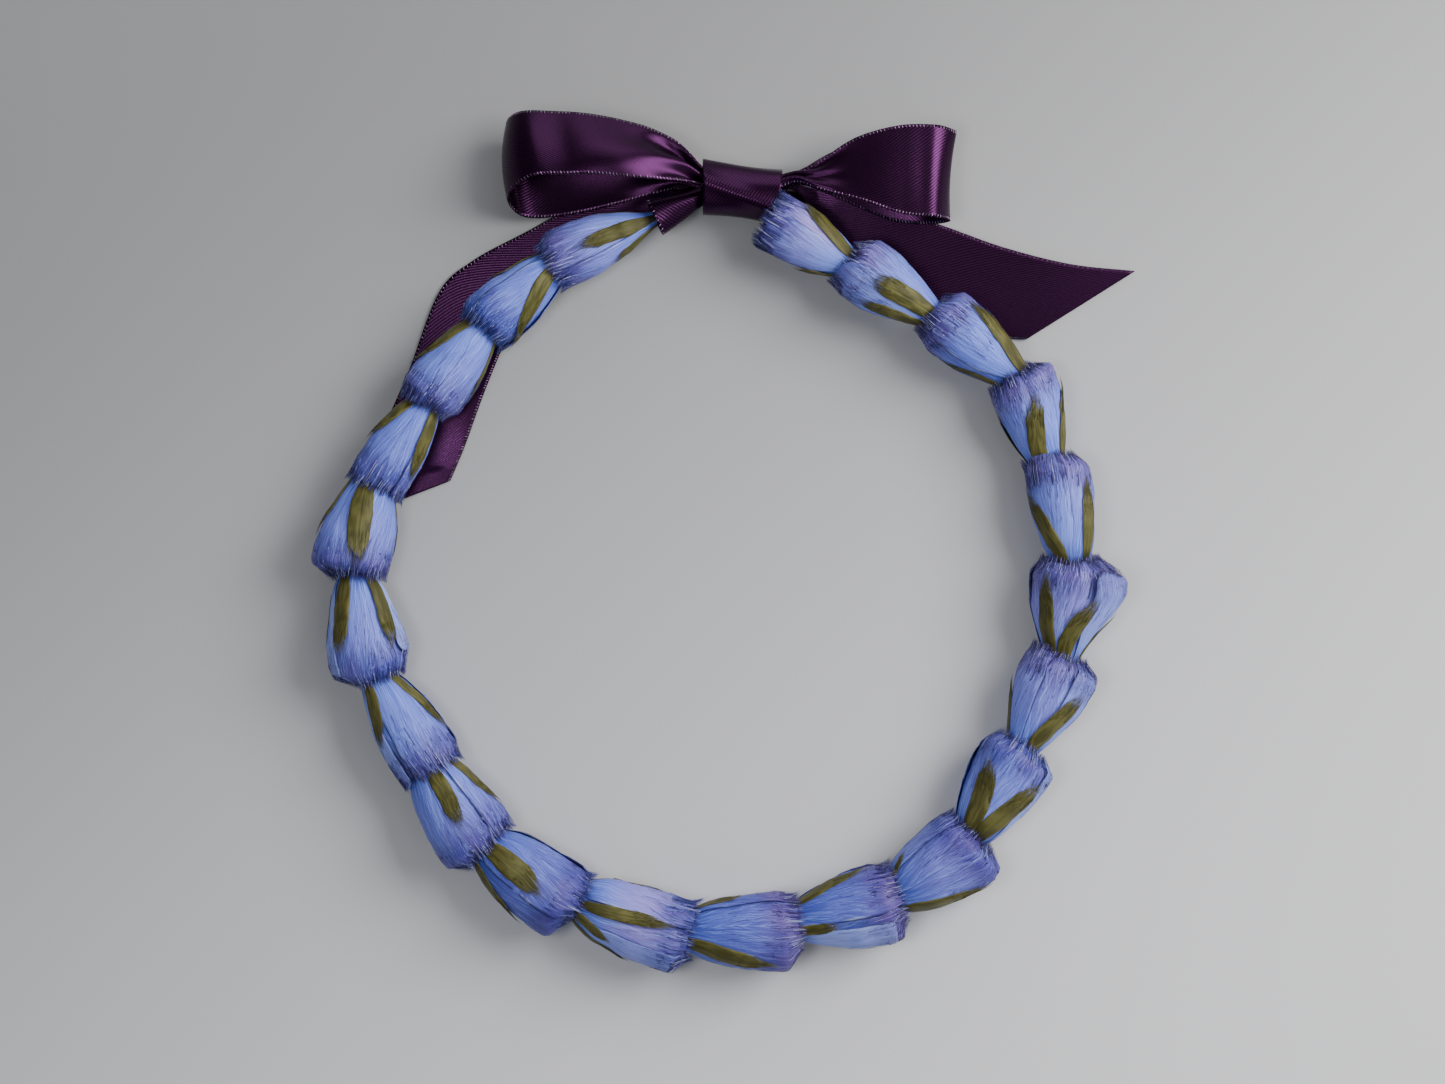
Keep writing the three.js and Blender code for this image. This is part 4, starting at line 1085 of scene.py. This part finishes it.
def feather_fibres():
    """Fine streaks along a feather's barbs, which fan out from its middle line."""
    group, g, start, end = new_group(
        "Feather fibres", ("Streaks", "Clumps", "Patches"), Across=60.0, Along=3.0, Fan=0.3, Seed=0.0,
    )
    u, v, _ = g.split(start["UV"])
    seed = g.times(start["Seed"], 37.0)
    wander = g.noise(g.vector(u, v, seed), 5.0, 1.0)
    bent = g.scaled(wander, 0.06, u)
    off = g.math("ABSOLUTE", g.less(bent, 0.5))
    fanned = g.less(off, g.times(v, start["Fan"]))
    along = g.times(v, start["Along"])
    straight = g.times(bent, start["Across"])
    slanted = g.times(fanned, start["Across"])
    one = g.noise(g.vector(straight, along, seed), 1.0, 3.0, 0.65)
    two = g.noise(g.vector(slanted, along, g.math("ADD", seed, 5.0)), 1.0, 3.0, 0.65)
    g.put(g.scaled(one, 0.45, g.times(two, 0.55)), end["Streaks"])
    g.put(g.noise(g.vector(g.times(slanted, 0.16), along, seed), 1.0), end["Clumps"])
    g.put(g.noise(g.vector(g.times(u, 3.2), g.times(v, 4.0), seed), 1.0), end["Patches"])
    return group


def satin_weave():
    """The slanted lines of a satin weave, from a UV map in millimetres."""
    group, g, start, end = new_group("Satin weave", ("Lines", "Threads"), Pitch=0.78, Slope=0.7)
    u, v, _ = g.split(start["UV"])
    wander = g.noise(g.vector(u, v, 0.0), 0.12, 1.0)
    sloped = g.scaled(v, start["Slope"], u)
    turned = g.scaled(wander, 0.25, sloped)
    phase = g.times(g.math("DIVIDE", turned, start["Pitch"]), 2 * math.pi)
    g.put(g.scaled(g.math("SINE", phase), 0.5, 0.5), end["Lines"])
    g.put(g.noise(g.vector(g.times(u, 6.0), g.times(v, 0.9), 0.0), 1.0, 2.0, 0.6), end["Threads"])
    return group


def shader(name, **constants):
    """A new material with its Principled shader; constants are set on the shader's own sockets."""
    material = bpy.data.materials.new(name)
    material.use_nodes = True
    principled = material.node_tree.nodes["Principled BSDF"]
    for label, value in constants.items():
        principled.inputs[label.replace("_", " ")].default_value = value
    return material, Graph(material.node_tree), principled


def read_piece(g):
    """A piece's UV map and its two parts, then the four numbers of its tint."""
    uv = g.add("ShaderNodeUVMap", uv_map="UVMap").outputs[0]
    tint = g.add("ShaderNodeAttribute", attribute_name="tint")
    u, v, _ = g.split(uv)
    return (uv, u, v, *g.split(tint.outputs["Vector"]), tint.outputs["Alpha"])


def surface(g, principled, colour, rough, height, strength, distance):
    """Links a material's colour and roughness, and the bumps that a height gives it."""
    bump = g.add("ShaderNodeBump")
    for label, value in (("Strength", strength), ("Distance", distance), ("Height", height)):
        g.put(value, bump.inputs[label])
    for label, value in (("Base Color", colour), ("Roughness", rough), ("Normal", bump.outputs[0])):
        g.put(value, principled.inputs[label])


def blue_feather():
    """Blue vanes with pale side edges and barbs dyed indigo, violet and lilac at the rim; painted sheen
    streaks, glints, shade at the base and seam shadows, and the darkest barbs partly painted shadow.
    """
    c = colours()
    material, g, principled = shader(
        "blue_feather", Specular_IOR_Level=0.3,
        Sheen_Weight=0.06, Sheen_Roughness=0.4, Sheen_Tint=rgba(c.pale),
    )
    uv, u, v, shade, lilac, loose, deep = read_piece(g)
    mauve = g.add("ShaderNodeAttribute", attribute_name="mauve").outputs["Fac"]
    seed = g.math("ADD", g.times(mauve, 7.0), g.times(deep, 3.0))
    fibres = known(bpy.data.node_groups, "Feather fibres", feather_fibres)
    streaks, clumps, patches = g.place(fibres, UV=uv, Across=95.0, Along=2.0, Fan=0.34, Seed=seed)
    wavy = g.scaled(g.less(clumps, 0.5), 0.34, v)
    base = g.mix(deep, c.light_blue, c.deep_blue)
    base = g.mix(g.times(lilac, g.smooth(wavy, 0.2, 0.6)), base, c.lilac)
    still = g.less(1.0, loose)
    base = g.mix(g.times(g.times(shade, still), 0.42), base, c.pale)
    # Painted shade: the vane turns deep blue towards its base, where it goes under the rim of the blossom
    # before.
    root = g.mix(g.smooth(v, 0.3, 0.1), base, c.deep_blue)
    purple = g.scaled(mauve, 0.9, g.scaled(patches, 1.6, -0.75), clamp=True)
    tinged = g.mix(g.smooth(streaks, 0.38, 0.62), c.violet, c.mauve)
    rim = g.mix(purple, g.mix(g.smooth(streaks, 0.4, 0.66), c.indigo, c.deep_blue), tinged)
    plain = g.scaled(g.times(shade, still), -0.6, 0.9)
    dyed = g.mix(g.times(g.smooth(wavy, 0.6, 0.9), plain), root, rim)
    # Light streaks over the vane, partly the fibres' own streaks and partly painted sheen; fewer where the
    # deep share is high and towards the rim.
    lit = g.scaled(deep, -0.45, g.scaled(g.smooth(v, 0.6, 0.85), -0.4, 0.9), clamp=True)
    pale = g.mix(g.times(g.smooth(streaks, 0.47, 0.64), lit), dyed, c.streak_and_sheen)
    # Painted highlight: pale glints on the brightest streaks, in patches.
    glint = g.times(g.smooth(streaks, 0.62, 0.74), g.smooth(patches, 0.45, 0.7))
    pale = g.mix(g.times(glint, 0.7), pale, c.pale)
    streaked = g.mix(g.times(g.smooth(streaks, 0.46, 0.35), 0.5), pale, c.indigo)
    fine, _, _ = g.place(fibres, UV=uv, Across=190.0, Along=5.0, Fan=0.2, Seed=seed)
    # Dark fine strokes towards the rim, partly the fibres' own colour and partly painted shadow between the
    # barbs.
    inked_and_shaded = g.times(g.smooth(fine, 0.47, 0.36), g.smooth(v, 0.5, 0.85))
    streaked = g.mix(g.times(inked_and_shaded, 0.75), streaked, g.mix(purple, c.indigo, c.plum_barb))
    side = g.math("ABSOLUTE", g.scaled(u, 2.0, -1.0))
    edge = g.times(g.smooth(side, 0.92, 0.95), g.smooth(v, 0.95, 0.6))
    edged = g.mix(g.times(edge, g.smooth(patches, 0.45, 0.8)), streaked, c.pale)
    # Painted shadow: a thin night-blue line along each petal's side edge, where it lies on the petal under
    # it.
    seam_shadow = g.times(g.smooth(side, 0.965, 0.985), g.smooth(v, 0.95, 0.8))
    edged = g.mix(g.times(seam_shadow, 0.8), edged, c.night)
    middle = g.times(g.smooth(side, 0.016, 0.004), g.smooth(v, 0.8, 0.55))
    ribbed = g.mix(g.times(middle, 0.6), edged, c.indigo)
    # Barbs' colours by their shade; the dark end stands partly for painted shadow between the barbs.
    ends = [(0.0, c.night), (1.0, c.pale), (0.88, c.lilac)]
    cool = g.ramp(shade, [*ends, (0.3, c.indigo), (0.5, c.deep_blue), (0.72, c.light_blue)])
    warm = g.ramp(shade, [*ends, (0.28, c.plum_barb), (0.5, c.violet), (0.72, c.mauve)])
    share = g.times(loose, g.smooth(v, 0.5, 0.85))
    colour = g.mix(g.scaled(share, 0.5, g.times(loose, 0.4)), ribbed, g.mix(purple, cool, warm))
    height = g.scaled(streaks, 1.0, g.times(clumps, 0.8))
    surface(g, principled, colour, g.scaled(streaks, 0.25, 0.42), height, 0.5, 0.0004)
    return material


def green_feathers():
    """Olive green vanes with a dark middle rib."""
    c = colours()
    material, g, principled = shader(
        "green_feather", Sheen_Weight=0.05, Sheen_Roughness=0.4, Specular_IOR_Level=0.3,
    )
    uv, u, v, shade, _, loose, _ = read_piece(g)
    fibres = known(bpy.data.node_groups, "Feather fibres", feather_fibres)
    streaks, clumps, _ = g.place(fibres, UV=uv, Across=20.0, Along=4.0, Fan=0.2, Seed=shade)
    base = g.mix(g.smooth(clumps, 0.35, 0.65), c.green, c.light_green)
    toned = g.mix(g.times(shade, 0.5), base, c.green)
    streaked = g.mix(g.times(g.smooth(streaks, 0.5, 0.3), 0.6), toned, c.dark_green)
    side = g.math("ABSOLUTE", g.scaled(u, 2.0, -1.0))
    rib = g.times(g.smooth(side, 0.16, 0.02), 0.2)
    ribbed = g.mix(rib, streaked, c.dark_green)
    edged = g.mix(g.times(g.smooth(side, 0.8, 0.98), 0.4), ribbed, c.light_green)
    tips = g.mix(g.times(g.times(loose, g.smooth(v, 0.8, 1.05)), 0.5), edged, c.light_green)
    rooted = g.mix(g.smooth(v, 0.34, 0.1), tips, c.dark_green)
    worn = g.smooth(g.scaled(g.less(streaks, 0.5), 0.6, v), 0.92, 1.12)
    colour = g.mix(g.times(worn, 0.85), rooted, g.mix(0.5, c.deep_blue, c.light_blue))
    height = g.scaled(streaks, 1.0, g.times(rib, -1.5))
    surface(g, principled, colour, g.scaled(streaks, 0.25, 0.4), height, 0.6, 0.0003)
    return material


def satin():
    """Plum satin ribbon with slanted weave lines and pale edge stitches."""
    c = colours()
    material, g, principled = shader("plum_satin", Specular_IOR_Level=0.4)
    uv, _, _, shade, _, stitch, _ = read_piece(g)
    lines, threads = g.place(known(bpy.data.node_groups, "Satin weave", satin_weave), UV=uv)
    dark = [x * 0.45 for x in c.plum]
    light = [min(x * 1.6, 1) for x in c.plum]
    woven = g.mix(g.smooth(lines, 0.1, 0.8), dark, light)
    threaded = g.mix(g.times(g.smooth(threads, 0.3, 0.7), 0.35), woven, c.plum)
    pale = g.mix(g.smooth(shade, 0.0, 1.2), c.plum_stitch, c.plum)
    g.put(g.scaled(stitch, -0.8, 0.88), principled.inputs["Metallic"])
    rough = g.scaled(stitch, 0.25, g.scaled(threads, 0.1, 0.23))
    height = g.times(g.scaled(lines, 1.0, g.times(threads, 0.5)), g.less(1.0, stitch))
    surface(g, principled, g.mix(stitch, threaded, pale), rough, height, 0.5, 0.00004)
    return material


def twisted_thread():
    """Thread of the inner cord, with a slanted twist on object coordinates."""
    c = colours()
    material, g, principled = shader("twisted_thread", Specular_IOR_Level=0.3)
    x, y, z = g.split(g.add("ShaderNodeTexCoord").outputs["Object"])
    turn = g.scaled(z, 1.6, g.math("ADD", x, y))
    twist = g.scaled(g.math("SINE", g.times(turn, 5200.0)), 0.5, 0.5)
    grain = g.noise(g.vector(x, y, z), 1800.0, 2.0)
    colour = g.mix(g.times(twist, grain), c.dark_green, c.light_green)
    surface(g, principled, colour, g.scaled(grain, 0.2, 0.65), twist, 0.6, 0.0003)
    return material


def plum_satin():
    return known(bpy.data.materials, "plum_satin", satin)


# Operators, in the order in which main calls them.


class LEI_OT_stage(bpy.types.Operator):
    """Make the floor, the lights and the camera."""

    bl_idname = "lei.stage"
    bl_label = "Floor, lights and camera"

    def execute(self, context):
        floor = primitive(bpy.ops.mesh.primitive_plane_add, "floor", size=6, location=(0, 0, -0.0003))
        material, g, principled = shader("pale_floor", Specular_IOR_Level=0.2)
        x, y, z = g.split(g.add("ShaderNodeTexCoord").outputs["Object"])
        cloud = g.noise(g.vector(x, y, z), 3.0, 2.0)
        # Painted light: the floor is painted brighter towards the lower right and darker towards the upper
        # left.
        lit = g.smooth(g.scaled(x, 0.8, g.times(y, -1.6)), -0.3, 0.37)
        c = colours().floor
        shade = g.mix(lit, [k * 0.62 for k in c], [min(k * 1.7, 1) for k in c])
        g.put(g.mix(g.times(cloud, 0.08), shade, (0.5, 0.5, 0.5)), principled.inputs["Base Color"])
        g.put(g.scaled(cloud, 0.1, 0.7), principled.inputs["Roughness"])
        floor.data.materials.append(material)

        world = bpy.data.worlds.new("soft_room")
        bpy.context.scene.world = world
        world.use_nodes = True
        background = world.node_tree.nodes["Background"]
        background.inputs["Color"].default_value = (0.80, 0.85, 0.95, 1)
        background.inputs["Strength"].default_value = 0.15
        lamp("key", (0.66, 0.30, 0.62), 0.6, 14.5, (1.0, 0.98, 0.95))
        lamp("fill", (0.5, -0.8, 0.6), 1.1, 2.5, (0.95, 0.97, 1.0))
        lamp("rim", (0.1, 0.9, 0.35), 0.6, 2.5, (1.0, 1.0, 1.0))
        lamp("left", (-0.2, -0.04, 0.75), 0.2, 1.8, (1.0, 1.0, 1.0))
        lamp("top", (0.22, 0.19, 0.77), 0.2, 0.3, (1.0, 1.0, 1.0))

        bpy.ops.object.camera_add(location=(0, 0, CAMERA_HEIGHT), rotation=(0, 0, 0))
        camera = bpy.context.object
        camera.data.lens = LENS
        camera.data.sensor_width = 36
        bpy.context.scene.camera = camera
        return {"FINISHED"}


def lamp(name, place, size, power, colour):
    bpy.ops.object.light_add(type="AREA", location=place)
    light = bpy.context.object
    light.name = name
    light.data.shape = "SQUARE"
    light.data.size = size
    light.data.energy = power
    light.data.color = colour
    light.rotation_euler = (-light.location).to_track_quat("-Z", "Y").to_euler()


class LEI_OT_cord(bpy.types.Operator):
    """Give the inner cord its thread."""

    bl_idname = "lei.cord"
    bl_label = "Inner cord"

    def execute(self, context):
        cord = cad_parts["core_cord"]
        cord.data.materials.clear()
        cord.data.materials.append(twisted_thread())
        return {"FINISHED"}


class LEI_OT_blossoms(bpy.types.Operator):
    """Make the blue feather blossoms."""

    bl_idname = "lei.blossoms"
    bl_label = "Blue blossoms"

    def execute(self, context):
        for blossom in PLACES:
            name = f"blossom_{blossom.number:02d}"
            parts = [petal_vane(blossom, petal) for petal in range(PETAL_COUNT)]
            parts += [outer_feather(blossom, o) for o in OUTER_FEATHERS if o[0] == blossom.number]
            parts.append(blossom_barbs(blossom))
            blue = known(bpy.data.materials, "blue_feather", blue_feather)
            finish_piece(join(parts, "feathers_" + name[-2:]), blue, "feather_blue", name)
        return {"FINISHED"}


class LEI_OT_green_feathers(bpy.types.Operator):
    """Make the slender green feathers round each blossom."""

    bl_idname = "lei.green_feathers"
    bl_label = "Green feathers"

    def execute(self, context):
        for blossom in PLACES:
            name = f"sepals_{blossom.number:02d}"
            parts = [binding_thread(blossom)]
            for green in blossom.greens:
                parts += green_feather(blossom, green)
            green = known(bpy.data.materials, "green_feather", green_feathers)
            finish_piece(join(parts, "greens_" + name[-2:]), green, "feather_green", name)
        return {"FINISHED"}


class LEI_OT_bow_lengths(bpy.types.Operator):
    """Make the bow's loops and tails."""

    bl_idname = "lei.bow_lengths"
    bl_label = "Bow loops and tails"

    def execute(self, context):
        lengths = [
            ("loop_left", LOOP_LEFT, 1.2, 2, 170, "folded", ["bow_knot"]),
            ("loop_right", LOOP_RIGHT, 0.8, 2, 170, "folded", ["bow_knot"]),
            ("tail_left", TAIL_LEFT, 0.25, 1, 130, "laid", []),
            ("tail_right", TAIL_RIGHT, 0.25, 1, 130, "laid", []),
        ]
        for name, edges, arch, pleats, cells, held, rests_on in lengths:
            piece, run = ribbon_length(name, edges, arch, pleats, cells)
            finish_piece(piece, plum_satin(), "ribbon", "bow_" + name)
        return {"FINISHED"}


class LEI_OT_bow_knot(bpy.types.Operator):
    """Make the knot's wrap and the band round the first blossom's base."""

    bl_idname = "lei.bow_knot"
    bl_label = "Bow knot and band"

    def execute(self, context):
        run = KNOT_TURN * (KNOT_HALF[0] + KNOT_HALF[1]) / 2
        knot = satin_sheet("ribbon_knot", knot_wrap, (26, 90), KNOT_WIDTH, run)
        finish_piece(knot, plum_satin(), "ribbon", "bow_knot")

        girth = BAND_TURN * (BAND_WIDE + BAND_NARROW) / 2
        count = stitches(girth)
        row = {
            "side": 0, "count": count, "inward": 0.04, "seed": SEED + count, "ahead": 0.01, "behind": 0.01,
        }
        band = satin_sheet("ribbon_band", band_wrap, (18, 80), BAND_WIDTH, girth, [row])
        finish_piece(band, plum_satin(), "ribbon", "bow_band")
        return {"FINISHED"}


class LEI_PT_panel(bpy.types.Panel):
    """Lists the lei's pieces, sizes and dyes."""

    bl_idname = "LEI_PT_panel"
    bl_label = "Feather lei"
    bl_space_type = "VIEW_3D"
    bl_region_type = "UI"
    bl_category = "Lei"

    def draw(self, context):
        for operator in OPERATORS:
            self.layout.operator(operator.bl_idname)
        for group in (context.scene.lei_sizes, context.scene.lei_colours):
            column = self.layout.column()
            for key in group.bl_rna.properties.keys():
                if key not in ("rna_type", "name"):
                    column.prop(group, key)


OPERATORS = (
    LEI_OT_stage, LEI_OT_cord, LEI_OT_blossoms, LEI_OT_green_feathers, LEI_OT_bow_lengths, LEI_OT_bow_knot,
)
CLASSES = (LeiSizes, LeiColours, *OPERATORS, LEI_PT_panel)


def register():
    for item in CLASSES:
        bpy.utils.register_class(item)
    bpy.types.Scene.lei_sizes = bpy.props.PointerProperty(type=LeiSizes)
    bpy.types.Scene.lei_colours = bpy.props.PointerProperty(type=LeiColours)


def unregister():
    del bpy.types.Scene.lei_colours
    del bpy.types.Scene.lei_sizes
    for item in reversed(CLASSES):
        bpy.utils.unregister_class(item)


def main():
    register()
    bpy.ops.lei.stage()
    bpy.ops.lei.cord()
    bpy.ops.lei.blossoms()
    bpy.ops.lei.green_feathers()
    bpy.ops.lei.bow_lengths()
    bpy.ops.lei.bow_knot()


if __name__ == "__main__":
    main()
